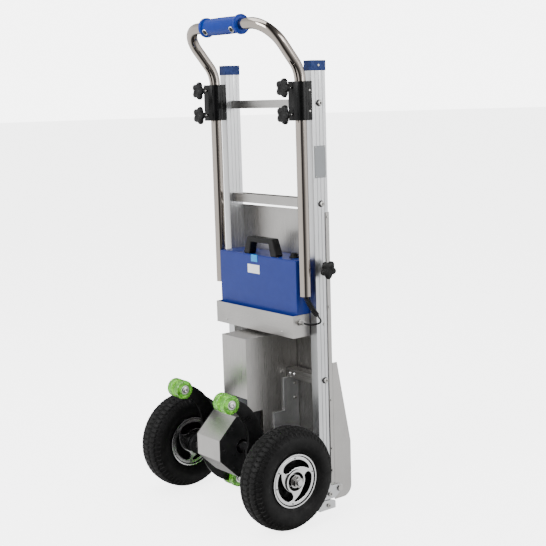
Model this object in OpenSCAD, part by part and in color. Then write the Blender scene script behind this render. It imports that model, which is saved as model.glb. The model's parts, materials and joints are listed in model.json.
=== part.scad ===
// Powered stair climbing trolley: an upright two-wheeled frame with a sliding loop handle,
// a lift-out battery, a folding toe plate and a motor-driven pair of climbing arms.
// Y = 0 is the wheel axis and +Y faces the load; heights are measured from the floor.

/* [Wheels] */
// Outer diameter of a tyre
wheel_d = 260; // [220:1:312]
// Width of a tyre
tyre_w = 84; // [70:1:100]
// Diameter of a rim's flanges
rim_d = 136; // [124:1:160]
// Distance between the middles of the two tyres
track = 442; // [436:1:530]
// Diameter of a stub axle
axle_d = 16; // [12:1:20]

/* [Frame] */
// Width over the outer faces of the two rails
frame_w = 376; // [330:1:380]
// Height of the top of the rails above the floor
rail_top = 1138; // [980:1:1360]
// Height of the bottom end of the rails above the floor
rail_bottom = 66; // [63:1:72]
// Width of a rail, side to side
rail_w = 25; // [22:1:30]
// Depth of a rail, back to front
rail_depth = 45; // [38:1:54]
// Height of the top bar below the top of the rails
top_bar_drop = 109; // [95:1:130]
// Height of the middle bar's underside above the floor
mid_bar_z = 780; // [745:1:860]
// Height of the lower bar's underside above the floor
low_bar_z = 329; // [300:1:350]

/* [Handle] */
// Outer diameter of the handle tube
tube_d = 28; // [25:1:28]
// Angle by which the loop leans back
loop_lean = 39.5; // [20:0.5:50]
// Length of the straight sloping part of the loop
loop_run = 54; // [40:1:120]
// Length of the grip
grip_length = 152; // [130:1:180]

/* [Battery] */
// Height of the battery case
battery_h = 153; // [120:1:160]
// Height of the tray's underside above the floor
tray_z = 458; // [452:1:470]
// Height of the tray's walls
tray_h = 57; // [50:1:62]

/* [Climber] */
// Distance from the crank shaft to a roller's axis
arm_reach = 162; // [130:1:165]
// Diameter of a climbing roller
roller_d = 48; // [40:1:50]
// Diameter of the crank shaft
crank_d = 28; // [22:1:30]
// Width of the gear case over its side plates
gear_case_w = 103; // [100:1:106]
// Height of the crank shaft above the wheel axis
crank_rise = 43.5; // [38:0.5:50]

/* [Toe plate] */
// Length of the toe plate
toe_length = 346; // [280:1:415]
// Depth of the toe plate's side flanges at the hinge
toe_flange = 58; // [50:1:58]

/* [Hidden] */
$fn = 48;

// Fits
run_gap = 0.05;        // radial gap of a running fit
seat_gap = 0.1;        // gap round a piece that is fixed in place
side_gap = 0.5;        // gap at the side of a piece that turns or slides
past = 1;              // how far a cut runs past the piece it is made in

// Frame
axle_z = wheel_d / 2;
rail_out = frame_w / 2;
rail_in = rail_out - rail_w;
rail_rear = wheel_d / 2 + 8;
rail_front = rail_rear + rail_depth;
rail_mid = (rail_rear + rail_front) / 2;
rail_wall = 2.4;
groove_w = 3;
groove_depth = 0.8;
cap_h = 25;
cap_lip = 1.4;
cap_cover = 5;
sheet = 2;
bolt_r = 4;
bolt_head_r = 6.5;
bolt_head_h = 5;
washer_r = 8.5;
washer_h = 1.6;
bolt_grip = 14;

top_bar = [12, 21];
mid_bar = [24, 24];
low_bar = [30, 25];
top_bar_z = rail_top - top_bar_drop;

panel_top = mid_bar_z - 10;
panel_fold = 10;
panel_out = rail_out + sheet;

// Wheels
wheel_x = track / 2;
tyre_round = 34;
bead_r = rim_d / 2 - 10;
bead_w = 60;
flange_t = 4;
hub_r = 27;
rim_band = 6;
rim_web_x = 8;
rim_web_t = 9;
rim_slot_angle = 76;
rim_slot_in = hub_r + 4;
rim_slot_out = bead_r - 11;
web_overlap = 5;
tyre_bead_h = wheel_d / 2 - tyre_round - bead_r;
tyre_lip = 3;
axle_end = 6;
axle_inner_end = 3;
bearing_r = axle_d / 2 + 8;
bearing_w = 14;
axle_plate_t = 8;
axle_plate_r = 28;
axle_plate_foot = [66, 196];
axle_shoulder_r = axle_d / 2 + 6;
hub_in = rail_in + 8;
hub_out = wheel_x + 37;
nut_r = axle_d * 0.85;
nut_h = 11;

// Feet and toe plate
foot_h = 25;
foot_plate_t = 8;
foot_rear = rail_rear - 12;
foot_front = rail_front - 2;
bracket_t = 5;
bracket_x = rail_out + 0.2;
pin_r = 5;
lug_r = 11;
foot_nose = [16, 6];
bracket_lift = 0.5;
bracket_top = rail_bottom + 34;
bracket_waist = [8, 4];
bracket_toe = 16;
pin_reach = 9;
pin_head_h = 4;
pin_head_r = pin_r + 3.5;
toe_rear = rail_front + sheet + 2;
toe_sheet = 3;
hinge_y = toe_rear + toe_flange - 46;
hinge_z = 48;
toe_x = rail_out - side_gap;
toe_under = 12;
toe_flange_drop = 30;
toe_tip_depth = 16;
toe_slope_start = 116;
foot_stem_front = hinge_y - 37;

// Battery and tray
battery_gap = 2.5;
tray_rear = rail_rear - 57;
battery_rear = tray_rear + 16;
battery_front = rail_front - 2;
battery_x = rail_in - battery_gap;
battery_seat = 42;
battery_bottom = tray_z + battery_seat;
battery_top = battery_bottom + battery_h;
tray_end = rail_rear - 2.5;
tray_lap = 1;
control_w = 280;
control_gap = 6;
carry_bar = [136, 24, 46];
carry_lean = 16;
carry_leg = 24;
carry_foot_h = 6;
socket_place = [46, 34];
socket_base = [13, 6];
socket_cap = [9.5, 12];
carry_hand_gap = 32;
carry_x = 10;
carry_y = battery_rear + 3;
battery_knob_z = battery_bottom + 0.85 * battery_h;

// Handle
tube_r = tube_d / 2;
tube_bore_r = tube_r - 1.7;
tube_x = rail_out - 11;
tube_y = rail_rear - 26;
clamp_h = 94;
clamp_top = rail_top - 45;
clamp_bottom = clamp_top - clamp_h;
tube_bottom = battery_top - 89;
bend_r = 72;
corner_r = 68;
bend_z = clamp_top + 1;
slope_y = tube_y - bend_r * (1 - cos(loop_lean));
slope_z = bend_z + bend_r * sin(loop_lean);
loop_rise = loop_run + corner_r;
grip_y = slope_y - loop_rise * sin(loop_lean);
grip_z = slope_z + loop_rise * cos(loop_lean);
grip_r = 21.5;
grip_waist_r = 20.5;
grip_flange_r = 24.5;
grip_flange_w = 9;
button_r = 6;
button_gap = 0.15;
button_tilt = 35;
button_x = grip_length / 2 - 21;
button_in = tube_r + 2.8;
button_out = grip_r + 2.4;
button_well = 40;
grip_swell = 0.7;

// Clamps and star knobs
clamp_wall = 6;
clamp_r = tube_r + clamp_wall;
clamp_rib = [20, 24];
clamp_foot_w = 26;
stud_r = 4;
knob_r = 24;
knob_core_r = 16;
knob_lobe_r = 8;
knob_t = 17;
knob_neck_r = 9;
knob_neck_h = 7;
knob_stand = 44;
knob_edge = 15;
stud_gap = 0.3;
clamp_rib_overlap = 8;
side_stand = 12;

// Climber and drive
crank_y = -7;
crank_z = axle_z + crank_rise;
case_x = gear_case_w / 2;
case_plate = 3;
case_depth = 70;
case_height = 80;
case_flat_z = 27;
case_flat_y = 15;
shaft_hole_r = crank_d / 2 + 4;
arm_t = 8;
arm_x = case_x + 50.3;
arm_hub_r = crank_d / 2 + 13;
arm_mid_half = 24;
arm_tip_half = 13;
arm_bow = 33;
arm_lean = 30.7;
arm_steps = 14;
roller_w = 20;
roller_bolt_r = 5;
roller_bolt_head_r = 8;
roller_bolt_head_h = 3.5;
housing_rear = 15;
housing_top = tray_z - 8;
housing_sill = crank_z + case_height + 38;
housing_step_y = crank_y + case_depth + 1;
housing_step_z = crank_z + case_height + 2;
housing_bottom = crank_z - case_height + 6;
housing_front = rail_front - 1;
mount_plate_t = 5;
mount_rear = rail_rear - 8;
mount_foot_rear = rail_rear - 43;
mount_foot_top = 242;
tooth_module = 2.4;
gear_teeth = 28;
pinion_teeth = 12;
gear_w = 14;
gear_x = -20;
gear_distance = tooth_module * (gear_teeth + pinion_teeth) / 2;
pressure_angle = 20;
tooth_backlash = 1.6;
pinion_y = crank_y + gear_distance;
pinion_shaft_r = 5;
gearbox_size = [40, 38, 112];
gearbox_x = 6;
gearbox_under = 22;
gearbox_bore = 12;
cover_slot_gap = [2, 3];
shaft_end = 6;
pinion_end = 4;
tooth_tip = 0.9;
tooth_root = 1.25;
arm_tip_pad = 2;
motor_r = 33;
motor_x = 10;
motor_y = 54;
motor_h = 150;

// Cord: points chosen for the curly part, from the tube's mouth,
// and for the straight lead from there to the gland
cord_r = 2.5;
coil_r = 7.5;
coil_mouth = [tube_x, tube_y, tube_bottom];
coil_points = [
    [0, 0, 300], [0, 0, 260], [0, 0, 220], [0, 0, 180], [0, 0, 140], [0, 0, 100], [0, 0, 60], [0, 0, 25],
    [0, 0, 8], [2, 1, -6], [6, 5, -17], [13, 9, -30], [20, 14, -42], [26, 19, -52]
];
coil_end = coil_mouth + coil_points[len(coil_points) - 1];
sweep_side = [0.6, -0.8, 0];
gland_y = tube_y - 8;
gland_z = tray_z + 38;
gland_r = 5;
gland_collar = [8, 5];
gland_neck_r = 5.5;
gland_mouth = rail_in + 17;
gland_bore = 6;
lead_points = [
    [0, 0, 0], [3, 2.5, -5], [5, 3, -10], [4, 0.5, -14], [1, -4, -16.5], [-4, -11, -18],
    [-9, -17, -18.5], [-15, -23, -17.5], [-20, -26, -16.5], [-23, -27, -16], [-26, -27, -16]
];

front_y = toe_rear + toe_flange;
mid_y = (front_y - wheel_d / 2) / 2;

// Moves a node from the wheel axis to the middle of the trolley's footprint
module on_floor() {
    translate([0, -mid_y, 0]) children();
}

// A cylinder along X between two positions
module rod_x(from, to, r, y, z) {
    translate([from, y, z]) rotate([0, 90, 0]) cylinder(h = to - from, r = r);
}

// A plate with a YZ outline, between two X positions
module plate_x(from, to) {
    translate([from, 0, 0]) rotate([90, 0, 90]) linear_extrude(height = to - from) children();
}

// The same plate on the left (side = -1) or on the right (side = 1)
module side_plate(side, near, far) {
    plate_x(side > 0 ? near : -far, side > 0 ? far : -near) children();
}

module side_rod(side, near, far, r, y, z) {
    rod_x(side > 0 ? near : -far, side > 0 ? far : -near, r, y, z);
}

/* ---- rails, bars and panel ---- */

module rail_section() {
    groove_pitch = rail_depth / 4;
    difference() {
        square([rail_w, rail_depth]);
        translate([rail_wall, rail_wall]) square([rail_w - 2 * rail_wall, rail_depth - 2 * rail_wall]);
        for (k = [1:3], x = [0, rail_w])
            translate([x, k * groove_pitch]) square([2 * groove_depth, groove_w], center = true);
    }
}

module rail(side) {
    bolt_spots = [
        [rail_mid, top_bar_z + top_bar[1] / 2],
        [rail_mid, mid_bar_z + mid_bar[1] / 2],
        [rail_mid, low_bar_z + low_bar[1] / 2]
    ];
    color("gainsboro") difference() {
        translate([side > 0 ? rail_in : -rail_out, rail_rear, rail_bottom])
            linear_extrude(height = rail_top - rail_bottom) rail_section();
        for (spot = bolt_spots)
            side_rod(side, rail_in - past, rail_out + past, bolt_r + seat_gap, spot[0], spot[1]);
        if (side > 0)
            side_rod(side, rail_in - past, rail_out + past, stud_r + run_gap, rail_mid, battery_knob_z);
    }
}

module rail_cap(side) {
    cap_x = side > 0 ? rail_in : -rail_out;
    color("royalblue") difference() {
        translate([cap_x - cap_lip, rail_rear - cap_lip, rail_top + cap_cover - cap_h])
            cube([rail_w + 2 * cap_lip, rail_depth + 2 * cap_lip, cap_h]);
        translate([cap_x - seat_gap, rail_rear - seat_gap, 0])
            cube([rail_w + 2 * seat_gap, rail_depth + 2 * seat_gap, rail_top]);
    }
}

// A bar between the rails, drilled at each end for its bolt
module crossbar(size, z) {
    bolt_z = z + size[1] / 2;
    difference() {
        translate([-rail_in, rail_mid - size[0] / 2, z]) cube([2 * rail_in, size[0], size[1]]);
        for (side = [-1, 1])
            side_rod(side, rail_in - bolt_grip - past, rail_in + past, bolt_r + seat_gap, rail_mid, bolt_z);
    }
}

module top_crossbar() {
    color("silver") crossbar(top_bar, top_bar_z);
}

module mid_crossbar() {
    color("silver") crossbar(mid_bar, mid_bar_z);
}

module lower_crossbar() {
    color("silver") crossbar(low_bar, low_bar_z);
}

module crossbar_bolts() {
    color("dimgray") for (side = [-1, 1], z = [
        top_bar_z + top_bar[1] / 2, mid_bar_z + mid_bar[1] / 2, low_bar_z + low_bar[1] / 2
    ]) {
        head = rail_out + washer_h;
        side_rod(side, rail_in - bolt_grip, head, bolt_r, rail_mid, z);
        side_rod(side, rail_out, head, washer_r, rail_mid, z);
        side_rod(side, head, head + bolt_head_h, bolt_head_r, rail_mid, z);
    }
}

// Sheet across the front of the rails, folded back along their outer faces
module front_panel() {
    color("lightgray") translate([0, 0, rail_bottom]) linear_extrude(height = panel_top - rail_bottom)
        difference() {
            translate([-panel_out, rail_front - panel_fold]) square([2 * panel_out, panel_fold + sheet]);
            translate([-rail_out, rail_front - panel_fold - past]) square([2 * rail_out, panel_fold + past]);
        }
}

/* ---- wheels and axles ---- */

module axle_plate(side) {
    color("darkgray") difference() {
        union() {
            side_rod(side, rail_in - axle_plate_t, rail_in, axle_plate_r, 0, axle_z);
            side_plate(side, rail_in - axle_plate_t, rail_in) polygon([
                [0, axle_z + axle_plate_r], [rail_rear, axle_plate_foot[1]], [rail_front, axle_plate_foot[1]],
                [rail_front, axle_plate_foot[0]], [rail_rear, axle_plate_foot[0]], [0, axle_z - axle_plate_r]
            ]);
        }
        side_rod(side, rail_in - axle_plate_t - past, rail_in + past, axle_d / 2 + seat_gap, 0, axle_z);
    }
}

module stub_axle(side) {
    inner_end = rail_in - axle_plate_t - nut_h - axle_inner_end;
    color("silver") {
        side_rod(side, inner_end, hub_out + nut_h + axle_end, axle_d / 2, 0, axle_z);
        side_rod(side, rail_in, hub_in - side_gap, axle_shoulder_r, 0, axle_z);
    }
}

// A hexagonal nut on an axle, between two X positions
module axle_nut(side, near, far) {
    difference() {
        translate([side > 0 ? near : -far, 0, axle_z]) rotate([0, 90, 0])
            cylinder(h = far - near, r = nut_r, $fn = 6);
        side_rod(side, near - past, far + past, axle_d / 2 + seat_gap, 0, axle_z);
    }
}

module axle_nuts() {
    plate_face = rail_in - axle_plate_t;
    color("khaki") for (side = [-1, 1]) {
        axle_nut(side, plate_face - nut_h, plate_face);
        axle_nut(side, hub_out + side_gap, hub_out + side_gap + nut_h);
    }
}

module wheel_bearings() {
    color("slategray") for (side = [-1, 1], x = [hub_in + side_gap, hub_out - bearing_w - side_gap])
        difference() {
            side_rod(side, x, x + bearing_w, bearing_r, 0, axle_z);
            side_rod(side, x - past, x + bearing_w + past, axle_d / 2 + run_gap, 0, axle_z);
        }
}

module tyre(side) {
    tread_flat = tyre_w / 2 - tyre_round;
    lip_r = rim_d / 2 - tyre_lip;
    color("#1c1c1e") translate([side * wheel_x, 0, axle_z]) rotate([0, 90, 0]) rotate_extrude($fn = 96)
        difference() {
            union() {
                for (s = [-1, 1])
                    translate([wheel_d / 2 - tyre_round, s * tread_flat]) circle(r = tyre_round);
                translate([wheel_d / 2 - 2 * tyre_round, -tread_flat])
                    square([2 * tyre_round, 2 * tread_flat]);
                translate([bead_r + seat_gap, -bead_w / 2]) square([tyre_bead_h, bead_w]);
            }
            translate([0, -tyre_w]) square([bead_r + seat_gap, 2 * tyre_w]);
            for (s = [-1, 1])
                translate([0, s > 0 ? bead_w / 2 : -bead_w / 2 - flange_t - seat_gap])
                    square([rim_d / 2 + seat_gap, flange_t + seat_gap]);
            for (s = [-1, 1])
                translate([0, s > 0 ? bead_w / 2 : -tyre_w]) square([lip_r, tyre_w - bead_w / 2]);
        }
}

module rim(side) {
    color("#2b2b2d") difference() {
        translate([side * wheel_x, 0, axle_z]) rotate([0, 90 * side, 0]) {
            difference() {
                rotate_extrude($fn = 96) {
                    translate([bead_r - rim_band, -bead_w / 2]) square([rim_band, bead_w]);
                    for (x = [-bead_w / 2 - flange_t, bead_w / 2])
                        translate([bead_r - rim_band, x]) square([rim_d / 2 - bead_r + rim_band, flange_t]);
                    translate([hub_r - web_overlap, rim_web_x]) square([bead_r - hub_r, rim_web_t]);
                    translate([0, hub_in - wheel_x]) square([hub_r, hub_out - hub_in]);
                }
                for (turn = [0, 120, 240]) rotate([0, 0, turn]) translate([0, 0, rim_web_x - past])
                    rotate_extrude(angle = rim_slot_angle, $fn = 96) translate([rim_slot_in, 0])
                        square([rim_slot_out - rim_slot_in, rim_web_t + 2 * past]);
            }
        }
        side_rod(side, hub_in - past, hub_out + past, bearing_r + run_gap, 0, axle_z);
    }
}

/* ---- feet and toe plate ---- */

module foot(side) {
    color("silver") {
        side_plate(side, rail_in, bracket_x)
            polygon([
                [foot_rear, 0], [foot_stem_front, 0], [foot_stem_front, rail_bottom],
                [rail_rear, rail_bottom], [rail_rear, foot_h], [foot_rear, foot_h]
            ]);
        side_plate(side, bracket_x, bracket_x + foot_plate_t)
            polygon([
                [foot_rear, 0], [foot_front, 0], [foot_front, foot_h - foot_nose[1]],
                [foot_front - foot_nose[0], foot_h], [foot_rear, foot_h]
            ]);
    }
}

// Outer bracket that carries the toe plate's hinge
module foot_bracket(side) {
    color("lightgray") difference() {
        union() {
            side_plate(side, bracket_x, bracket_x + bracket_t) polygon([
                [rail_rear, foot_h + bracket_lift], [rail_rear, bracket_top], [rail_mid, bracket_top],
                [rail_mid + bracket_waist[0], rail_bottom - bracket_waist[1]], [hinge_y, hinge_z + lug_r],
                [hinge_y, hinge_z - lug_r], [hinge_y - bracket_toe, foot_h + bracket_lift]
            ]);
            side_rod(side, bracket_x, bracket_x + bracket_t, lug_r, hinge_y, hinge_z);
        }
        side_rod(side, bracket_x - past, bracket_x + bracket_t + past, pin_r + seat_gap, hinge_y, hinge_z);
    }
}

module toe_hinge_pins() {
    color("dimgray") for (side = [-1, 1]) {
        head = bracket_x + bracket_t;
        side_rod(side, toe_x - toe_sheet - pin_reach, head, pin_r, hinge_y, hinge_z);
        side_rod(side, head, head + pin_head_h, pin_head_r, hinge_y, hinge_z);
    }
}

// Outline of a side flange, seen from the side with the plate folded up
module toe_flange_outline() {
    bottom = hinge_z - toe_flange_drop;
    top = hinge_z - toe_under + toe_length;
    front = toe_rear + toe_flange;
    round_r = toe_flange_drop - 2;
    difference() {
        union() {
            polygon([
                [toe_rear, bottom], [front - round_r, bottom], [front, bottom + round_r],
                [front, hinge_z + toe_slope_start], [toe_rear + toe_tip_depth, top], [toe_rear, top]
            ]);
            translate([front - round_r, bottom + round_r]) circle(r = round_r);
        }
        translate([hinge_y, hinge_z]) circle(r = pin_r + run_gap);
    }
}

module toe_plate() {
    color("lightgray") {
        translate([-toe_x, toe_rear, hinge_z - toe_under]) cube([2 * toe_x, toe_sheet, toe_length]);
        for (side = [-1, 1]) side_plate(side, toe_x - toe_sheet, toe_x) toe_flange_outline();
    }
}

/* ---- battery, tray and cord ---- */

module battery_tray() {
    inner_x = rail_in - side_gap;
    color("gainsboro") difference() {
        union() {
            translate([-rail_in, tray_rear, tray_z]) cube([2 * rail_in, sheet, tray_h]);
            for (x = [-rail_in, rail_in - sheet])
                translate([x, tray_rear, tray_z]) cube([sheet, tray_end - tray_rear, tray_h]);
            translate([-rail_in, tray_rear, tray_z]) cube([2 * rail_in, tray_end - tray_rear, sheet]);
            translate([-inner_x, tray_end - tray_lap, tray_z])
                cube([2 * inner_x, rail_front - tray_end + tray_lap, sheet]);
        }
        side_rod(1, rail_in - sheet - past, rail_in + past, gland_r + seat_gap, gland_y, gland_z);
    }
}

// Control electronics under the battery, which stands on its lid
module control_unit() {
    rear = tray_rear + sheet + control_gap;
    color("#3a3d42") translate([-control_w / 2, rear, tray_z + sheet])
        cube([control_w, battery_front - sheet - rear, battery_seat - sheet]);
}

module cord_gland() {
    color("silver") difference() {
        union() {
            rod_x(rail_in - sheet, rail_in + sheet, gland_r, gland_y, gland_z);
            rod_x(rail_in, rail_in + gland_collar[1], gland_collar[0], gland_y, gland_z);
            rod_x(rail_in + gland_collar[1], gland_mouth, gland_neck_r, gland_y, gland_z);
        }
        rod_x(gland_mouth - gland_bore, gland_mouth + past, cord_r + seat_gap, gland_y, gland_z);
    }
}

// Rings of a tube swept along a list of points
function heading(p, i) = let (
    a = p[max(i - 1, 0)],
    b = p[min(i + 1, len(p) - 1)]
) (b - a) / norm(b - a);

function ring(p, i, r, sides) = let (
    d = heading(p, i),
    side_way = cross(d, sweep_side),
    u = side_way / norm(side_way),
    v = cross(d, u)
) [for (k = [0:sides - 1]) p[i] + r * (cos(360 * k / sides) * u + sin(360 * k / sides) * v)];

module swept_tube(p, r, sides) {
    rings = len(p);
    last = (rings - 1) * sides;
    polyhedron(
        points = [for (i = [0:rings - 1]) each ring(p, i, r, sides)],
        faces = concat(
            [[for (k = [0:sides - 1]) k]],
            [for (i = [0:rings - 2], k = [0:sides - 1]) [
                i * sides + k, (i + 1) * sides + k,
                (i + 1) * sides + (k + 1) % sides, i * sides + (k + 1) % sides
            ]],
            [[for (k = [sides - 1:-1:0]) last + k]]
        )
    );
}

// Envelope of the curly part of the cord, stored up inside the tube and leaning out below it
module control_cord_coil() {
    color("#202022") swept_tube([for (p = coil_points) coil_mouth + p], coil_r, 12);
}

module control_cord_tail() {
    color("#202022") swept_tube([for (p = lead_points) coil_end + p], cord_r, 8);
}

module battery_case() {
    color("#31569f") translate([-battery_x, battery_rear, battery_bottom])
        cube([2 * battery_x, battery_front - battery_rear, battery_h]);
}

module battery_handle() {
    half = carry_bar[0] / 2;
    color("#1e1e20") translate([carry_x, carry_y + carry_bar[1] / 2, battery_top]) rotate([90, 0, 0])
        translate([0, 0, -carry_bar[1] / 2]) linear_extrude(height = carry_bar[1]) difference() {
            polygon([
                [-half, 0], [half, 0], [half, carry_foot_h], [half - carry_lean, carry_bar[2]],
                [-half + carry_lean, carry_bar[2]], [-half, carry_foot_h]
            ]);
            polygon([
                [-half + carry_leg, -past], [half - carry_leg, -past],
                [half - carry_leg - carry_lean / 2, carry_hand_gap],
                [-half + carry_leg + carry_lean / 2, carry_hand_gap]
            ]);
        }
}

module battery_socket() {
    color("#1e1e20") translate([battery_x - socket_place[0], battery_rear + socket_place[1], battery_top]) {
        cylinder(h = socket_base[1], r = socket_base[0]);
        cylinder(h = socket_cap[1], r = socket_cap[0]);
    }
}

/* ---- clamps and knobs ---- */

// Star knob with its stud pointing along +Z, standing at the given distance from its tip
module star_knob(stand) {
    color("#222224") {
        cylinder(h = stand, r = stud_r);
        translate([0, 0, stand - knob_neck_h]) cylinder(h = knob_neck_h, r = knob_neck_r);
        translate([0, 0, stand]) linear_extrude(height = knob_t) {
            circle(r = knob_core_r);
            for (k = [0:4]) rotate(72 * k) translate([knob_r - knob_lobe_r, 0]) circle(r = knob_lobe_r);
        }
    }
}

module clamp(side) {
    x = side * tube_x;
    color("#19191b") difference() {
        translate([0, 0, clamp_bottom]) linear_extrude(height = clamp_h) difference() {
            union() {
                translate([x, tube_y]) circle(r = clamp_r);
                translate([x - clamp_rib[0] / 2, tube_y - tube_r - clamp_rib[1] + clamp_rib_overlap])
                    square(clamp_rib);
                translate([x - clamp_foot_w / 2, tube_y]) square([clamp_foot_w, rail_rear - tube_y]);
            }
            translate([x, tube_y]) circle(r = tube_r + run_gap);
        }
        for (z = [clamp_bottom + knob_edge, clamp_top - knob_edge])
            translate([x, tube_y, z]) rotate([90, 0, 0]) cylinder(h = knob_stand, r = stud_r + run_gap);
    }
}

module clamp_knob(side, z) {
    translate([side * tube_x, tube_y - tube_r - stud_gap, z]) rotate([90, 0, 0])
        star_knob(knob_stand - tube_r + stud_gap);
}

module battery_knob() {
    tip = battery_x + side_gap;
    translate([tip, rail_mid, battery_knob_z]) rotate([0, 90, 0]) star_knob(rail_out + side_stand - tip);
}

/* ---- handle ---- */

module handle_half(r) {
    translate([tube_x, tube_y, tube_bottom]) cylinder(h = bend_z - tube_bottom, r = r);
    translate([tube_x, tube_y - bend_r, bend_z]) rotate([90, 0, 90])
        rotate_extrude(angle = loop_lean) translate([bend_r, 0]) circle(r = r);
    translate([tube_x, slope_y, slope_z]) rotate([loop_lean, 0, 0]) {
        cylinder(h = loop_run, r = r);
        translate([-corner_r, 0, loop_run]) rotate([90, 0, 0])
            rotate_extrude(angle = 90) translate([corner_r, 0]) circle(r = r);
        translate([-tube_x, 0, loop_rise]) rotate([0, 90, 0]) cylinder(h = tube_x - corner_r, r = r);
    }
}

module handle_tube() {
    color("silver") difference() {
        union() {
            handle_half(tube_r);
            mirror([1, 0, 0]) handle_half(tube_r);
        }
        handle_half(tube_bore_r);
        mirror([1, 0, 0]) handle_half(tube_bore_r);
    }
}

// Places a button's axis, pointing back and down out of the grip
module at_button(x) {
    translate([x, grip_y, grip_z]) rotate([90 + button_tilt, 0, 0]) children();
}

module handle_grip() {
    end = grip_length / 2;
    color("royalblue") difference() {
        union() {
            rod_x(-end, end, grip_waist_r, grip_y, grip_z);
            rod_x(-end * grip_swell, end * grip_swell, grip_r, grip_y, grip_z);
            for (x = [-end, end - grip_flange_w])
                rod_x(x, x + grip_flange_w, grip_flange_r, grip_y, grip_z);
        }
        rod_x(-end - past, end + past, tube_r + run_gap, grip_y, grip_z);
        for (x = [-button_x, button_x]) at_button(x) cylinder(h = button_well, r = button_r + button_gap);
    }
}

module grip_button(x) {
    color("#202022") at_button(x) translate([0, 0, button_in])
        cylinder(h = button_out - button_in, r = button_r);
}

/* ---- drive ---- */

// Side outline of the drive housing
module housing_outline() {
    polygon([
        [housing_rear, housing_step_z], [housing_rear, housing_top], [housing_front, housing_top],
        [housing_front, housing_bottom], [housing_step_y, housing_bottom], [housing_step_y, housing_step_z]
    ]);
}

module drive_housing() {
    slot = [rail_mid - low_bar[0] / 2 - side_gap, low_bar_z - side_gap];
    color("lightgray") difference() {
        union() {
            for (side = [-1, 1]) side_plate(side, case_x - sheet, case_x) housing_outline();
            translate([-case_x, housing_rear, housing_sill])
                cube([2 * case_x, sheet, housing_top - housing_sill]);
            translate([-case_x, housing_rear, housing_top - sheet])
                cube([2 * case_x, housing_front - housing_rear, sheet]);
            translate([-case_x, housing_step_y, housing_bottom])
                cube([2 * case_x, housing_front - housing_step_y, sheet]);
        }
        translate([-case_x - past, slot[0], slot[1]])
            cube([gear_case_w + 2 * past, low_bar[0] + 2 * side_gap, low_bar[1] + 2 * side_gap]);
    }
}

// Outline of the gear case, with its walls moved in by the given amount
module case_outline(inset) {
    rise = case_height - case_flat_z;
    run = case_depth - case_flat_y;
    slant = rise * case_flat_y + run * case_height - inset * norm([rise, run]);
    depth = case_depth - inset;
    height = case_height - inset;
    flat_z = (slant - rise * depth) / run;
    flat_y = (slant - run * height) / rise;
    translate([crank_y, crank_z]) polygon([
        [-depth, flat_z], [-flat_y, height], [flat_y, height], [depth, flat_z],
        [depth, -flat_z], [flat_y, -height], [-flat_y, -height], [-depth, -flat_z]
    ]);
}

module gear_case_cover() {
    slot_y = pinion_y - gearbox_size[1] / 2 - cover_slot_gap[1];
    color("lightgray") difference() {
        plate_x(-case_x + case_plate, case_x - case_plate) difference() {
            case_outline(0);
            case_outline(sheet);
        }
        translate([gearbox_x - cover_slot_gap[0], slot_y, crank_z])
            cube([gearbox_size[0] + 2 * cover_slot_gap[0], case_depth, gearbox_size[2]]);
    }
}

module gear_case_plate(side) {
    color("#262628") difference() {
        side_plate(side, case_x - case_plate, case_x) case_outline(0);
        side_rod(side, case_x - case_plate - past, case_x + past, shaft_hole_r, crank_y, crank_z);
    }
}

module drive_mount_plates() {
    color("silver") for (side = [-1, 1]) side_plate(side, case_x, case_x + mount_plate_t) polygon([
        [mount_rear, low_bar_z], [housing_front, low_bar_z], [housing_front, housing_bottom],
        [mount_foot_rear, housing_bottom], [mount_foot_rear, mount_foot_top], [mount_rear, mount_foot_top]
    ]);
}

module drive_motor() {
    color("#4a4d52") translate([motor_x, motor_y, crank_z + gearbox_size[2] - gearbox_under])
        cylinder(h = motor_h, r = motor_r);
}

module gearbox() {
    color("slategray") difference() {
        translate([gearbox_x, pinion_y - gearbox_size[1] / 2, crank_z - gearbox_under]) cube(gearbox_size);
        rod_x(gearbox_x - past, gearbox_x + gearbox_bore, pinion_shaft_r + run_gap, pinion_y, crank_z);
    }
}

// Involute spur gear round the X axis
function involute(base, r) = let (t = sqrt(max((r / base) ^ 2 - 1, 0))) t * 180 / PI - atan(t);

module spur_gear(teeth, width) {
    pitch_r = tooth_module * teeth / 2;
    base_r = pitch_r * cos(pressure_angle);
    tip_r = pitch_r + tooth_tip * tooth_module;
    root_r = pitch_r - tooth_root * tooth_module;
    half = 90 / teeth + involute(base_r, pitch_r) - tooth_backlash * 90 / (PI * pitch_r) / 2;
    radii = [max(base_r, root_r), (base_r + tip_r) / 2, tip_r];
    rotate([90, 0, 90]) linear_extrude(height = width) {
        circle(r = root_r);
        for (k = [0:teeth - 1]) rotate(360 * k / teeth) polygon(concat(
            [[root_r - 1, -root_r * sin(half)]],
            [for (r = radii) let (a = half - involute(base_r, r)) [r * cos(a), -r * sin(a)]],
            [for (i = [2:-1:0]) let (r = radii[i], a = half - involute(base_r, r)) [r * cos(a), r * sin(a)]],
            [[root_r - 1, root_r * sin(half)]]
        ));
    }
}

module drive_pinion() {
    color("gray") {
        translate([gear_x - past, pinion_y, crank_z]) rotate([180 / pinion_teeth, 0, 0])
            spur_gear(pinion_teeth, gear_w + 2 * past);
        rod_x(gear_x - pinion_end, gearbox_x + gearbox_bore - past, pinion_shaft_r, pinion_y, crank_z);
    }
}

// Crank shaft with its gear; its ends carry the climbing arms
module crank_shaft() {
    color("silver") {
        reach = arm_x + arm_t / 2 + shaft_end;
        rod_x(-reach, reach, crank_d / 2, crank_y, crank_z);
        translate([gear_x, crank_y, crank_z]) spur_gear(gear_teeth, gear_w);
    }
}

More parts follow.
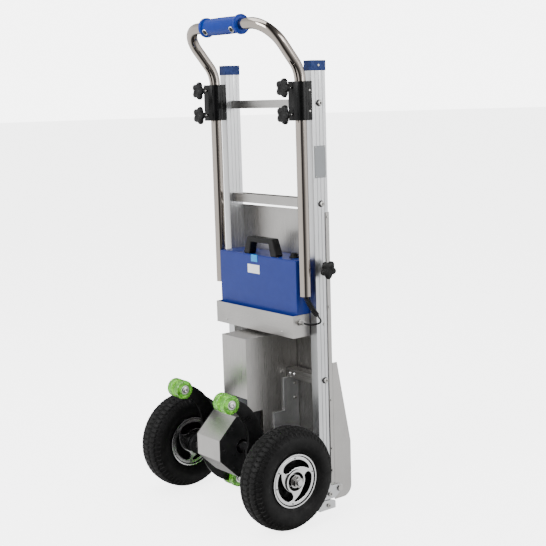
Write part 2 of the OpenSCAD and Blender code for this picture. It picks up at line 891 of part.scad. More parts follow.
// One bowed half of an arm, from the hub at the origin to the roller's axis at [arm_reach, 0]
module arm_half() {
    chord = arm_reach / 2;
    curve_r = (chord ^ 2 + arm_bow ^ 2) / (2 * arm_bow);
    sweep = 2 * asin(chord / curve_r);
    angle = function(t) 90 + sweep / 2 - t * sweep;
    half_w = function(t) arm_mid_half + (arm_tip_half - arm_mid_half) * t;
    point = function(t, s) [
        chord + (curve_r + s * half_w(t)) * cos(angle(t)),
        arm_bow - curve_r + (curve_r + s * half_w(t)) * sin(angle(t))
    ];
    polygon(concat(
        [for (i = [0:arm_steps]) point(i / arm_steps, 1)],
        [for (i = [arm_steps:-1:0]) point(i / arm_steps, -1)]
    ));
    translate([arm_reach, 0]) circle(r = arm_tip_half + arm_tip_pad);
}

module climb_arm(side) {
    tip = [-sin(arm_lean), cos(arm_lean)] * arm_reach;
    color("#1b1b1d") difference() {
        for (turn = [0, 180])
            side_plate(side, arm_x - arm_t / 2, arm_x + arm_t / 2)
                translate([crank_y, crank_z]) rotate(90 + arm_lean + turn) {
                    mirror([0, 1]) arm_half();
                    circle(r = arm_hub_r);
                }
        side_rod(side, arm_x - arm_t, arm_x + arm_t, crank_d / 2 + run_gap, crank_y, crank_z);
        for (s = [-1, 1]) {
            tip_y = crank_y + s * tip[0];
            tip_z = crank_z + s * tip[1];
            side_rod(side, arm_x - arm_t, arm_x + arm_t, roller_bolt_r + run_gap, tip_y, tip_z);
        }
    }
}

// Twin roller at one end of an arm: s = 1 is the upper end at rest, s = -1 the lower
module roller_pair(side, s) {
    y = crank_y - s * sin(arm_lean) * arm_reach;
    z = crank_z + s * cos(arm_lean) * arm_reach;
    gap = arm_t / 2 + side_gap;
    color("#7fd86a") for (near = [arm_x - gap - roller_w, arm_x + gap]) difference() {
        side_rod(side, near, near + roller_w, roller_d / 2, y, z);
        side_rod(side, near - past, near + roller_w + past, roller_bolt_r + run_gap, y, z);
    }
}

module roller_bolts() {
    reach = arm_t / 2 + side_gap + roller_w + side_gap;
    color("silver") for (side = [-1, 1], s = [-1, 1]) {
        y = crank_y - s * sin(arm_lean) * arm_reach;
        z = crank_z + s * cos(arm_lean) * arm_reach;
        side_rod(side, arm_x - reach, arm_x + reach, roller_bolt_r, y, z);
        side_rod(side, arm_x + reach, arm_x + reach + roller_bolt_head_h, roller_bolt_head_r, y, z);
        side_rod(side, arm_x - reach - roller_bolt_head_h, arm_x - reach, roller_bolt_head_r, y, z);
    }
}

on_floor() rail(-1);  // rail_left
on_floor() rail(1);  // rail_right
on_floor() rail_cap(-1);  // rail_cap_left
on_floor() rail_cap(1);  // rail_cap_right
on_floor() top_crossbar();
on_floor() mid_crossbar();
on_floor() lower_crossbar();
on_floor() crossbar_bolts();
on_floor() front_panel();
on_floor() axle_plate(-1);  // axle_plate_left
on_floor() axle_plate(1);  // axle_plate_right
on_floor() stub_axle(-1);  // stub_axle_left
on_floor() stub_axle(1);  // stub_axle_right
on_floor() axle_nuts();
on_floor() wheel_bearings();
on_floor() tyre(-1);  // tyre_left
on_floor() tyre(1);  // tyre_right
on_floor() rim(-1);  // rim_left
on_floor() rim(1);  // rim_right
on_floor() foot(-1);  // foot_left
on_floor() foot(1);  // foot_right
on_floor() foot_bracket(-1);  // foot_bracket_left
on_floor() foot_bracket(1);  // foot_bracket_right
on_floor() toe_plate();
on_floor() toe_hinge_pins();
on_floor() battery_tray();
on_floor() control_unit();
on_floor() cord_gland();
on_floor() control_cord_coil();
on_floor() control_cord_tail();
on_floor() battery_case();
on_floor() battery_handle();
on_floor() battery_socket();
on_floor() battery_knob();
on_floor() clamp(-1);  // clamp_left
on_floor() clamp(1);  // clamp_right
on_floor() clamp_knob(-1, clamp_top - knob_edge);  // clamp_knob_left_upper
on_floor() clamp_knob(-1, clamp_bottom + knob_edge);  // clamp_knob_left_lower
on_floor() clamp_knob(1, clamp_top - knob_edge);  // clamp_knob_right_upper
on_floor() clamp_knob(1, clamp_bottom + knob_edge);  // clamp_knob_right_lower
on_floor() handle_tube();
on_floor() handle_grip();
on_floor() grip_button(-button_x);  // up_button
on_floor() grip_button(button_x);  // down_button
on_floor() drive_housing();
on_floor() gear_case_cover();
on_floor() gear_case_plate(-1);  // gear_case_plate_left
on_floor() gear_case_plate(1);  // gear_case_plate_right
on_floor() drive_mount_plates();
on_floor() drive_motor();
on_floor() gearbox();
on_floor() drive_pinion();
on_floor() crank_shaft();
on_floor() climb_arm(-1);  // climb_arm_left
on_floor() climb_arm(1);  // climb_arm_right
on_floor() roller_pair(-1, 1);  // roller_left_upper
on_floor() roller_pair(-1, -1);  // roller_left_lower
on_floor() roller_pair(1, 1);  // roller_right_upper
on_floor() roller_pair(1, -1);  // roller_right_lower
on_floor() roller_bolts();
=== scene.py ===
import json
from math import cos, pi, radians, sin

import bmesh
import bpy
from bpy.props import FloatProperty, FloatVectorProperty, IntProperty, PointerProperty
from mathutils import Matrix, Vector

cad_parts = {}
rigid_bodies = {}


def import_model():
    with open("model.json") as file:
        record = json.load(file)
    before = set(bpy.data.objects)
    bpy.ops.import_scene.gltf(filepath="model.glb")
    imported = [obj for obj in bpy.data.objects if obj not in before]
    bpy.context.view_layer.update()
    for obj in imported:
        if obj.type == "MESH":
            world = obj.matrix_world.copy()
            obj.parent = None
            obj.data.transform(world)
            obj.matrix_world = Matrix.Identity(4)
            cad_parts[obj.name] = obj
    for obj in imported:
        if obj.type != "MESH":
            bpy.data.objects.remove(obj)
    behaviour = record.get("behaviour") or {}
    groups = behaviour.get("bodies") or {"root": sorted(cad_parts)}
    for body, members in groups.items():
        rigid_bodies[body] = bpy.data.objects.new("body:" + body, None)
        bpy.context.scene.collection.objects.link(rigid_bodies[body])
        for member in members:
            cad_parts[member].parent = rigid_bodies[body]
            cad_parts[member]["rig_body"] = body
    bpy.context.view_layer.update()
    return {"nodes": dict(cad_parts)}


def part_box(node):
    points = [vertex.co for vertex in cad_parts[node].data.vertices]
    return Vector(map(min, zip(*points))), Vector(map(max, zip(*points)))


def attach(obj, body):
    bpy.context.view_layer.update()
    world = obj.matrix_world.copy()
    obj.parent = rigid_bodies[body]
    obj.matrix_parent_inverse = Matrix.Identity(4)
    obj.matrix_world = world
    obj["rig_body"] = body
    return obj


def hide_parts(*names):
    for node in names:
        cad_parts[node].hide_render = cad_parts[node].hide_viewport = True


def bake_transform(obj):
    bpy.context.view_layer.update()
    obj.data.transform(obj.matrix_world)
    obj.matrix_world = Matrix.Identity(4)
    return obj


bl_info = {
    "name": "Stair climbing trolley",
    "version": (1, 0, 0),
    "blender": (4, 5, 0),
    "location": "3D View > Sidebar > Trolley",
    "description": "Builds the finishes and the fine detail of a powered stair climbing trolley",
    "category": "Object",
}

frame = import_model()

SIDES = {"left": -1, "right": 1}
X_AXIS = Vector((1, 0, 0))
Y_AXIS = Vector((0, 1, 0))
Z_AXIS = Vector((0, 0, 1))
INSIDE = 0.0002                   # how far a new piece stays inside the shape that it stands in for

# Tyre tread
TREAD_EDGE = radians(66)          # lean at which the tread ends and the sidewall starts
TREAD_ROWS = 5                    # rows of blocks across the tread
ROW_GROOVE = 0.07                 # half width of the groove between two rows, as a share of a row
OUTER_GAP = 0.38                  # gap between two blocks of an outer row, as a share of their pitch
INNER_GAP = 0.26                  # the same in the inner rows
INNER_GAP_DEPTH = 0.85            # depth of those gaps, as a share of the tread's depth

# Rims
DISC_BORE = 0.0262                # radius of the hole that the hub fills
SLOT_IN = 0.0292                  # inner radius of a slot
SLOT_STARTS = (230, 350, 470)     # where each slot starts, in degrees
STUD_ANGLES = (12, 88, 148, 188, 262)
HUB_BORE = 0.0165
HUB_BACK = 0.048                  # from a rim's middle to the inner end of its hub
HUB_WELL = 0.0140                 # depth of the well round the axle's nut

# Bolts and screws: radius and height of the head
RIM_STUD = (0.0019, 0.0012)
PLATE_BOLT = (0.0065, 0.0050)
BRACKET_BOLT = (0.0062, 0.0046)
FOOT_BOLT = (0.0055, 0.0036)
MOUNT_BOLT = (0.0048, 0.0036)
SHAFT_SCREW = (0.0085, 0.0050)
ROLLER_BOLT = (0.0078, 0.0034)

# Heights of fasteners above the floor
AXLE_PLATE_BOLTS = (0.105, 0.160)
PANEL_SCREWS = (0.100, 0.159, 0.288, 0.530, 0.758)
RAIL_SCREW = 0.487
MOUNT_BOLTS = (0.310, 0.270, 0.130)

# Across the trolley, from its middle
BAR_SCREWS = (0.066, 0.082)
TRAY_SCREW = 0.118

# Other pieces
RATING_PLATE = (0.0010, 0.036, 0.079)
RATING_PLATE_HEIGHT = 0.896
LID_SCREWS = (-0.130, -0.078, 0.078, 0.130)
LID_MARGIN = 0.009                # from the battery's edge to a lid screw
STUD_RADIUS = 0.0039              # thread of a star knob
BUTTON_REACH = 0.0239             # from the grip's middle line to the top of a push button
CASE_SCREW_CIRCLE = 0.060         # from a gear case plate's middle to its screws
CASE_SCREW_ANGLES = (60, 120, 180, 240, 300)
ROLLER_WIDTH = 0.020              # width of one tread of a twin roller
ROLLER_ROD = 0.0048               # radius of a roller's bolt

# Middle line of the control cord in millimetres: the curly part from the handle tube's mouth,
# and the straight lead from the end of the curly part to the gland
CURL_POINTS = (
    (0, 0, 300), (0, 0, 260), (0, 0, 220), (0, 0, 180), (0, 0, 140), (0, 0, 100), (0, 0, 60), (0, 0, 25),
    (0, 0, 8), (2, 1, -6), (6, 5, -17), (13, 9, -30), (20, 14, -42), (26, 19, -52),
)
LEAD_POINTS = (
    (0, 0, 0), (3, 2.5, -5), (5, 3, -10), (4, 0.5, -14), (1, -4, -16.5), (-4, -11, -18),
    (-9, -17, -18.5), (-15, -23, -17.5), (-20, -26, -16.5), (-23, -27, -16), (-26, -27, -16),
)


# ---------------------------------------------------------------- settings


def length(name, description, default, low=0.0, high=1.0):
    """A size in metres that a user can change."""
    return FloatProperty(
        name=name, description=description, default=default, min=low, max=high, unit="LENGTH", precision=4,
    )


def paint(name, description, default):
    """A colour that a user can change."""
    return FloatVectorProperty(
        name=name, description=description, default=default, size=3, min=0, max=1, subtype="COLOR",
    )


def slant(name, description, default):
    """An angle that a user can change; the default is given in degrees."""
    return FloatProperty(name=name, description=description, default=radians(default), subtype="ANGLE")


def glow(name, description, default):
    """A brightness, or a lamp's power in watts, that a user can change."""
    return FloatProperty(name=name, description=description, default=default, min=0)


class StageSettings(bpy.types.PropertyGroup):
    """Camera, floor and lights."""

    camera_place: FloatVectorProperty(
        name="Camera place", description="Where the camera stands", default=(2.2903, -1.7132, 1.0622),
        size=3, subtype="XYZ", unit="LENGTH",
    )
    camera_turn: slant("Camera turn", "Turn about the vertical, from looking along +Y", 51.7369)
    camera_tilt: slant("Camera tilt", "Downward tilt", 9.0162)
    camera_roll: slant("Camera roll", "Roll about the line of sight", -1.7037)
    lens: FloatProperty(
        name="Lens", description="Focal length in millimetres", default=73.97, min=10, max=200,
    )
    floor_colour: paint("Floor", "Colour of the floor", (0.90, 0.90, 0.90))
    floor_radius: length("Floor radius", "Radius of the floor", 60.0, 5.0, 200.0)
    surround: glow("Surround", "Brightness of the surround", 0.95)
    reflection: glow("Reflections", "Brightness of the surround as metal reflects it", 1.5)
    backdrop: glow("Backdrop", "Brightness of the surround in view", 6.0)
    floor_glow: glow("Floor glow", "Extra brightness of the floor", 3.8)
    key_power: glow("Key light", "Power of the key light in watts", 130)
    fill_power: glow("Fill light", "Power of the fill light in watts", 60)
    top_power: glow("Top light", "Power of the top light in watts", 75)


class FinishSettings(bpy.types.PropertyGroup):
    """Colours of the finishes."""

    stainless: paint("Stainless", "Brushed stainless sheet", (0.50, 0.49, 0.475))
    aluminium: paint("Aluminium", "Extruded and milled aluminium", (0.72, 0.73, 0.74))
    polished: paint("Polished tube", "Polished stainless tube", (0.44, 0.395, 0.355))
    zinc: paint("Zinc", "Zinc-plated fasteners", (0.58, 0.57, 0.55))
    battery: paint("Battery", "Battery shell", (0.0032, 0.018, 0.165))
    grip: paint("Grip", "Handle grip", (0.0012, 0.022, 0.21))
    cap: paint("Cap", "Rail end caps", (0.0010, 0.015, 0.095))
    roller: paint("Roller", "Climbing rollers", (0.34, 0.92, 0.10))
    rubber: paint("Rubber", "Tyre rubber", (0.0014, 0.0014, 0.0015))
    dust: paint("Dust", "Dust that settles low down", (0.10, 0.093, 0.083))


class WheelSettings(bpy.types.PropertyGroup):
    """Tyre tread and rim face."""

    tread_blocks: IntProperty(
        name="Tread blocks", description="Blocks round a tyre", default=58, min=20, max=120,
    )
    tread_depth: length("Tread depth", "Depth of the tread grooves", 0.0032, 0.0, 0.006)
    lip_width: length("Lip width", "Width of the rim's bright outer lip", 0.0042, 0.001, 0.01)
    slot_span: slant("Slot span", "Angle that a rim slot covers", 113)
    flange_place: length("Flange place", "From a rim's middle to its outer face", 0.0336, 0.01, 0.04)
    disc_radius: length("Disc radius", "Radius of a rim's slotted disc", 0.0612, 0.03, 0.064)
    disc_thickness: length("Disc thickness", "Thickness of a rim's slotted disc", 0.0110, 0.002, 0.02)
    web_half: length("Web half", "Half the thickness of the web between the discs", 0.004, 0.001, 0.01)
    hub_radius: length("Hub radius", "Radius of the bright ring round the hub", 0.0285, 0.02, 0.04)


class FastenerSettings(bpy.types.PropertyGroup):
    """Screws, bolts and rivets."""

    head_radius: length("Head radius", "Radius of a frame bolt's head", 0.0065, 0.002, 0.02)
    head_height: length("Head height", "Height of a frame bolt's head", 0.0050, 0.001, 0.02)
    washer_radius: length("Washer radius", "Radius of a frame bolt's washer", 0.0084, 0.004, 0.02)
    washer_thickness: length("Washer thickness", "Thickness of a frame bolt's washer", 0.0015, 0.0005, 0.004)
    screw_radius: length("Screw radius", "Radius of a sheet screw's head", 0.0036, 0.001, 0.01)
    small_screw_radius: length("Small screw radius", "Radius of a small screw's head", 0.0030, 0.001, 0.01)
    case_screw_radius: length("Case screw radius", "Radius of a battery or tray screw", 0.0032, 0.001, 0.01)
    bar_screw_radius: length("Bar screw radius", "Radius of a screw in the lower bar", 0.0040, 0.001, 0.01)
    rivet_radius: length("Rivet radius", "Radius of a plate's rivet", 0.0016, 0.0005, 0.01)


class MouldingSettings(bpy.types.PropertyGroup):
    """Edge rounding of sheet, plate and moulded pieces."""

    sheet_edge: length("Sheet edge", "Rounding of a sheet metal edge", 0.0007, 0.0, 0.005)
    plate_edge: length("Plate edge", "Rounding of a plate's edge", 0.0010, 0.0, 0.005)
    turned_edge: length("Turned edge", "Rounding of a turned piece's edge", 0.0008, 0.0, 0.005)
    moulded_edge: length("Moulded edge", "Rounding of a plastic moulding's edge", 0.0022, 0.0, 0.01)
    clamp_edge: length("Clamp edge", "Rounding of a handle clamp's edges", 0.0018, 0.0, 0.01)
    carry_edge: length("Carry handle edge", "Rounding of the battery's carry handle", 0.0034, 0.0, 0.01)
    box_edge: length("Box edge", "Rounding of the gearbox and the control unit", 0.002, 0.0, 0.01)
    lid_inset: length("Lid inset", "Distance from the battery's sides to its lid plate", 0.0022, 0.0, 0.02)
    lid_height: length("Lid height", "Height of the battery's lid plate", 0.0016, 0.0, 0.01)
    battery_edge: length("Battery edge", "Rounding of the battery shell's edges", 0.0014, 0.0, 0.02)


class CordSettings(bpy.types.PropertyGroup):
    """Control cord."""

    wire_radius: length("Wire radius", "Radius of the cord in the curly part", 0.0018, 0.0005, 0.004)
    lead_radius: length("Lead radius", "Radius of the straight lead", 0.0024, 0.0005, 0.004)
    curl_radius: length("Curl radius", "Outer radius of the curly part", 0.0075, 0.004, 0.015)
    tube_radius: length("Tube radius", "Outer radius of the handle's tube", 0.014, 0.005, 0.03)
    coil_pitch: length("Coil pitch", "Distance between two turns", 0.0043, 0.002, 0.02)


def settings(name):
    """One of the settings groups of the current scene."""
    return getattr(bpy.context.scene, "trolley_" + name)


# ---------------------------------------------------------------- measuring the frame


def span(node):
    """Lowest corner, highest corner and middle of a CAD node."""
    low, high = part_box(node)
    low, high = Vector(low), Vector(high)
    return low, high, (low + high) / 2


def outer_face(node):
    """Distance from the middle of the trolley to the side of a CAD node that faces away from it."""
    low, high, _ = span(node)
    return max(abs(low.x), abs(high.x))


# ---------------------------------------------------------------- mesh making


def along(place, axis):
    """Matrix that stands local Z along an axis at a place."""
    turn = Z_AXIS.rotation_difference(Vector(axis)).to_matrix().to_4x4()
    return Matrix.Translation(Vector(place)) @ turn


def join_rings(edit, first, second):
    """Skin between two rings of vertices; a ring of one vertex closes to a point."""
    count = max(len(first), len(second))
    for i in range(count):
        j = (i + 1) % count
        corners = [first[i % len(first)], first[j % len(first)]]
        corners += [second[j % len(second)], second[i % len(second)]]
        unique = [v for n, v in enumerate(corners) if v not in corners[:n]]
        if len(unique) > 2:
            edit.faces.new(unique)


def lathe(edit, profile, place, axis, steps=48, closed=False, shape=None):
    """Turned solid from (distance along the axis, radius) points; shape(angle) scales each radius."""
    rings = []
    for height, radius in profile:
        if radius < 1e-7:
            rings.append([edit.verts.new((0, 0, height))])
            continue
        ring = []
        for i in range(steps):
            angle = 2 * pi * i / steps
            reach = radius * (shape(angle) if shape else 1)
            ring.append(edit.verts.new((reach * cos(angle), reach * sin(angle), height)))
        rings.append(ring)
    for first, second in zip(rings, rings[1:]):
        join_rings(edit, first, second)
    if closed:
        join_rings(edit, rings[-1], rings[0])
    moved = [v for ring in rings for v in ring]
    bmesh.ops.transform(edit, matrix=along(place, axis), verts=moved)
    return moved


def block(edit, low, high):
    """Box between two corners."""
    low, high = Vector(low), Vector(high)
    size = high - low
    scale = Matrix.Diagonal((size.x, size.y, size.z, 1))
    made = bmesh.ops.create_cube(edit, size=1, matrix=Matrix.Translation((low + high) / 2) @ scale)
    return made["verts"]


def smooth_path(points, per_span):
    """Catmull-Rom curve through the given points."""
    ends = [2 * points[0] - points[1], *points, 2 * points[-1] - points[-2]]
    path = []
    for i in range(1, len(ends) - 2):
        a, b, c, d = ends[i - 1:i + 3]
        bend = 2 * a - 5 * b + 4 * c - d
        twist = 3 * b - a - 3 * c + d
        for k in range(per_span):
            t = k / per_span
            path.append(0.5 * ((2 * b) + (c - a) * t + bend * t ** 2 + twist * t ** 3))
    path.append(points[-1].copy())
    return path


def travelling_frames(path):
    """For each point of a path: its direction and two steady directions across it."""
    frames = []
    across = None
    for i in range(len(path)):
        ahead = (path[min(i + 1, len(path) - 1)] - path[max(i - 1, 0)]).normalized()
        if across is None:
            across = ahead.orthogonal().normalized()
        across = (across - ahead * across.dot(ahead)).normalized()
        frames.append((ahead, across, ahead.cross(across)))
    return frames


def sweep(edit, path, radius, sides=10):
    """Round tube along a path, closed at both ends."""
    rings = []
    for point, (_, across, up) in zip(path, travelling_frames(path)):
        rings.append([
            edit.verts.new(point + radius * (cos(2 * pi * k / sides) * across + sin(2 * pi * k / sides) * up))
            for k in range(sides)
        ])
    for first, second in zip(rings, rings[1:]):
        join_rings(edit, first, second)
    edit.faces.new(list(reversed(rings[0])))
    edit.faces.new(rings[-1])


def socket_head(edit, place, axis, radius, height, socket=0.5):
    """Cap screw head with a round socket; socket is its share of the head's radius."""
    edge = radius * 0.14
    profile = [
        (0, 0), (0, radius), (height - edge, radius), (height - edge * 0.3, radius - edge * 0.3),
        (height, radius - edge), (height, radius * socket),
        (height * 0.45, radius * socket), (height * 0.4, 0),
    ]
    lathe(edit, profile, place, axis, steps=24)


def pan_head(edit, place, axis, radius):
    """Low domed screw or rivet head."""
    profile = [
        (0, 0), (0, radius), (radius * 0.28, radius * 0.95), (radius * 0.5, radius * 0.7), (radius * 0.6, 0),
    ]
    lathe(edit, profile, place, axis, steps=20)


def washer(edit, place, axis, inner, outer, thickness):
    """Flat ring with eased edges."""
    ease = thickness * 0.25
    profile = [
        (0, inner), (0, outer - ease), (ease, outer), (thickness - ease, outer), (thickness, outer - ease),
        (thickness, inner),
    ]
    lathe(edit, profile, place, axis, steps=36, closed=True)


def crisp(mesh, angle=32):
    """Smooth shading with sharp folds kept."""
    mesh.shade_smooth()
    mesh.set_sharp_from_angle(angle=radians(angle))


def placed(name, data):
    """Object with the given data, in the scene."""
    made = bpy.data.objects.new(name, data)
    bpy.context.scene.collection.objects.link(made)
    return made


def closed_mesh(name, edit):
    """Mesh of an edit mesh, which is freed."""
    bmesh.ops.recalc_face_normals(edit, faces=edit.faces)
    mesh = bpy.data.meshes.new(name)
    edit.to_mesh(mesh)
    edit.free()
    return mesh


def piece(name, edit, body, material, replaces=(), angle=32, edge=0.0):
    """Turns an edit mesh into a named piece that rides on a body."""
    mesh = closed_mesh(name, edit)
    crisp(mesh, angle)
    made = placed(name, mesh)
    mesh.materials.append(material)
    if edge:
        eased(made, edge)
    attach(made, body)
    if replaces:
        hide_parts(*replaces)
    return made


def eased(made, width, segments=2):
    """Rounds a piece's sharp edges."""
    bevel = made.modifiers.new("Eased edges", "BEVEL")
    bevel.width = width
    bevel.segments = segments
    bevel.limit_method = "ANGLE"
    bevel.angle_limit = radians(34)
    bevel.harden_normals = True
    bevel.use_clamp_overlap = True


def eased_copy(node, material, edge, segments=2):
    """Stands in for a CAD node with the same shape and eased edges."""
    source = frame["nodes"][node]
    edit = bmesh.new()
    edit.from_mesh(source.data)
    bmesh.ops.remove_doubles(edit, verts=edit.verts, dist=2e-6)
    bmesh.ops.dissolve_limit(
        edit, angle_limit=radians(0.5), verts=edit.verts, edges=edit.edges,
    )
    made = piece("look_" + node, edit, source["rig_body"], material, replaces=(node,))
    eased(made, edge, segments)
    return made


def dress(node, material):
    """Gives a CAD node that keeps its own mesh a new material."""
    mesh = frame["nodes"][node].data
    mesh.materials.clear()
    mesh.materials.append(material)


# ---------------------------------------------------------------- shared surface effects


def effect(name, inputs, outputs):
    """Empty shader node group with its sockets."""
    group = bpy.data.node_groups.new(name, "ShaderNodeTree")
    for label, kind, value in inputs:
        socket = group.interface.new_socket(name=label, in_out="INPUT", socket_type=kind)
        socket.default_value = value
    for label, kind in outputs:
        group.interface.new_socket(name=label, in_out="OUTPUT", socket_type=kind)
    return group, group.nodes.new("NodeGroupInput"), group.nodes.new("NodeGroupOutput")


def wire(tree, start, end):
    """Links an output socket to an input socket."""
    tree.links.new(start, end)


def add_noise(tree, vector, scale=5.0, detail=3.0, roughness=0.5):
    """Noise texture on the given coordinates; scale is a number or a socket."""
    noise = tree.nodes.new("ShaderNodeTexNoise")
    noise.inputs["Detail"].default_value = detail
    noise.inputs["Roughness"].default_value = roughness
    wire(tree, vector, noise.inputs["Vector"])
    if isinstance(scale, (int, float)):
        noise.inputs["Scale"].default_value = scale
    else:
        wire(tree, scale, noise.inputs["Scale"])
    return noise.outputs["Fac"]


def add_range(tree, value, low, high, out_low=0.0, out_high=1.0):
    """Maps a value from one range to another; the output ends are numbers or sockets."""
    mapped = tree.nodes.new("ShaderNodeMapRange")
    wire(tree, value, mapped.inputs["Value"])
    mapped.inputs["From Min"].default_value = low
    mapped.inputs["From Max"].default_value = high
    for label, end in (("To Min", out_low), ("To Max", out_high)):
        if isinstance(end, (int, float)):
            mapped.inputs[label].default_value = end
        else:
            wire(tree, end, mapped.inputs[label])
    return mapped.outputs["Result"]


def add_mix(tree, factor, first, second):
    """Colour mix of two sockets."""
    mix = tree.nodes.new("ShaderNodeMix")
    mix.data_type = "RGBA"
    wire(tree, factor, mix.inputs["Factor"])
    wire(tree, first, mix.inputs["A"])
    wire(tree, second, mix.inputs["B"])
    return mix.outputs["Result"]


def add_product(tree, first, second):
    """Product of two sockets."""
    product = tree.nodes.new("ShaderNodeMath")
    product.operation = "MULTIPLY"
    wire(tree, first, product.inputs[0])
    wire(tree, second, product.inputs[1])
    return product.outputs["Value"]


def object_coordinates(tree):
    """Coordinates that stay with the piece."""
    return tree.nodes.new("ShaderNodeTexCoord").outputs["Object"]


def make_mottle():
    """Slow change between two values, as handling leaves on any surface."""
    group, given, result = effect(
        "Mottle",
        [
            ("Scale", "NodeSocketFloat", 20.0),
            ("Low", "NodeSocketFloat", 0.3),
            ("High", "NodeSocketFloat", 0.5),
        ],
        [("Value", "NodeSocketFloat")],
    )
    noise = add_noise(group, object_coordinates(group), given.outputs["Scale"], 4.0, 0.6)
    value = add_range(group, noise, 0.32, 0.68, given.outputs["Low"], given.outputs["High"])
    wire(group, value, result.inputs["Value"])
    return group


def make_grain():
    """Fine lines in one direction, as brushing or drawing leaves on metal."""
    group, given, result = effect(
        "Brushed grain",
        [
            ("Stretch", "NodeSocketVector", (900.0, 900.0, 8.0)),
            ("Low", "NodeSocketFloat", 0.25), ("High", "NodeSocketFloat", 0.42),
        ],
        [("Roughness", "NodeSocketFloat"), ("Height", "NodeSocketFloat")],
    )
    scaled = group.nodes.new("ShaderNodeVectorMath")
    scaled.operation = "MULTIPLY"
    wire(group, object_coordinates(group), scaled.inputs[0])
    wire(group, given.outputs["Stretch"], scaled.inputs[1])
    lines = add_noise(group, scaled.outputs["Vector"], 1.0, 3.0, 0.6)
    roughness = add_range(group, lines, 0.3, 0.7, given.outputs["Low"], given.outputs["High"])
    wire(group, roughness, result.inputs["Roughness"])
    wire(group, lines, result.inputs["Height"])
    return group


def make_tone():
    """Colour that drifts between two close tones."""
    group, given, result = effect(
        "Tone drift",
        [
            ("First", "NodeSocketColor", (0.5, 0.5, 0.5, 1)),
            ("Second", "NodeSocketColor", (0.4, 0.4, 0.4, 1)),
            ("Scale", "NodeSocketFloat", 9.0),
        ],
        [("Color", "NodeSocketColor")],
    )
    noise = add_noise(group, object_coordinates(group), given.outputs["Scale"], 5.0, 0.55)
    factor = add_range(group, noise, 0.35, 0.65)
    drifted = add_mix(group, factor, given.outputs["First"], given.outputs["Second"])
    wire(group, drifted, result.inputs["Color"])
    return group


def make_wear_and_highlight():
    """Paler colour along outer edges, partly wear and partly a painted highlight where the edges catch the
    light.
    """
    group, given, result = effect(
        "Edge wear",
        [
            ("Color", "NodeSocketColor", (0.5, 0.5, 0.5, 1)),
            ("Worn", "NodeSocketColor", (0.6, 0.6, 0.6, 1)),
            ("Amount", "NodeSocketFloat", 0.5),
        ],
        [("Color", "NodeSocketColor"), ("Mask", "NodeSocketFloat")],
    )
    pointed = group.nodes.new("ShaderNodeNewGeometry").outputs["Pointiness"]
    # Convex edges found by pointiness get the paler colour: partly wear, partly painted highlight.
    edges = add_range(group, pointed, 0.52, 0.62)
    patches = add_range(group, add_noise(group, object_coordinates(group), 60.0, 5.0, 0.7), 0.42, 0.6)
    mask = add_product(group, add_product(group, edges, patches), given.outputs["Amount"])
    worn_and_lit = add_mix(group, mask, given.outputs["Color"], given.outputs["Worn"])
    wire(group, worn_and_lit, result.inputs["Color"])
    wire(group, mask, result.inputs["Mask"])
    return group


def make_dust():
    """Dust that fades out above a height, held in patches."""
    group, given, result = effect(
        "Low dust",
        [
            ("Color", "NodeSocketColor", (0.5, 0.5, 0.5, 1)),
            ("Dust", "NodeSocketColor", (0.3, 0.28, 0.25, 1)),
            ("Amount", "NodeSocketFloat", 0.4),
            ("Scale", "NodeSocketFloat", 40.0),
        ],
        [("Color", "NodeSocketColor"), ("Mask", "NodeSocketFloat")],
    )
    place = object_coordinates(group)
    split = group.nodes.new("ShaderNodeSeparateXYZ")
    wire(group, place, split.inputs["Vector"])
    fade = add_range(group, split.outputs["Z"], 0.30, 0.0, 0.15, 1.0)
    patches = add_range(group, add_noise(group, place, given.outputs["Scale"], 6.0, 0.65), 0.38, 0.72)
    mask = add_product(group, add_product(group, fade, patches), given.outputs["Amount"])
    dusted = add_mix(group, mask, given.outputs["Color"], given.outputs["Dust"])
    wire(group, dusted, result.inputs["Color"])
    wire(group, mask, result.inputs["Mask"])
    return group


EFFECTS = {}


def make_effects():
    """Builds every shared effect once."""
    EFFECTS["mottle"] = make_mottle()
    EFFECTS["grain"] = make_grain()
    EFFECTS["tone"] = make_tone()
    EFFECTS["wear_and_highlight"] = make_wear_and_highlight()
    EFFECTS["dust"] = make_dust()


def use(tree, name, **values):
    """Places a shared effect in a material with its own values."""
    node = tree.nodes.new("ShaderNodeGroup")
    node.node_tree = EFFECTS[name]
    for label, value in values.items():
        node.inputs[label].default_value = value
    return node


# ---------------------------------------------------------------- materials

MATERIALS = {}


def new_material(name):
    """Material with only its Principled shader and output."""
    material = bpy.data.materials.new(name)
    material.use_nodes = True
    shader = material.node_tree.nodes["Principled BSDF"]
    MATERIALS[name] = material
    return material.node_tree, shader


def opaque(colour):
    """The colour with full opacity."""
    return (*colour, 1.0)


def shaded(colour, factor):
    """The same colour, darker or lighter."""
    return (*(min(1.0, c * factor) for c in colour), 1.0)


def add_bump(tree, shader, height, strength, distance):
    """Bump from a height, in metres, into the shader's normal."""
    bump = tree.nodes.new("ShaderNodeBump")
    bump.inputs["Strength"].default_value = strength
    bump.inputs["Distance"].default_value = distance
    wire(tree, height, bump.inputs["Height"])
    wire(tree, bump.outputs["Normal"], shader.inputs["Normal"])


def metal(name, colour, stretch, low, high, bump=0.04, drift=0.86, dust=0.0):
    """Bare metal with lines in one direction and slow changes of tone."""
    tree, shader = new_material(name)
    shader.inputs["Metallic"].default_value = 1.0
    tone = use(tree, "tone", First=opaque(colour), Second=shaded(colour, drift), Scale=7.0)
    grain = use(tree, "grain", Stretch=stretch, Low=low, High=high)
    last = tone.outputs["Color"]
    if dust:
        film = use(tree, "dust", Dust=opaque(settings("finishes").dust), Amount=dust, Scale=25.0)
        wire(tree, last, film.inputs["Color"])
        last = film.outputs["Color"]
    wire(tree, last, shader.inputs["Base Color"])
    wire(tree, grain.outputs["Roughness"], shader.inputs["Roughness"])
    add_bump(tree, shader, grain.outputs["Height"], bump, 0.0002)


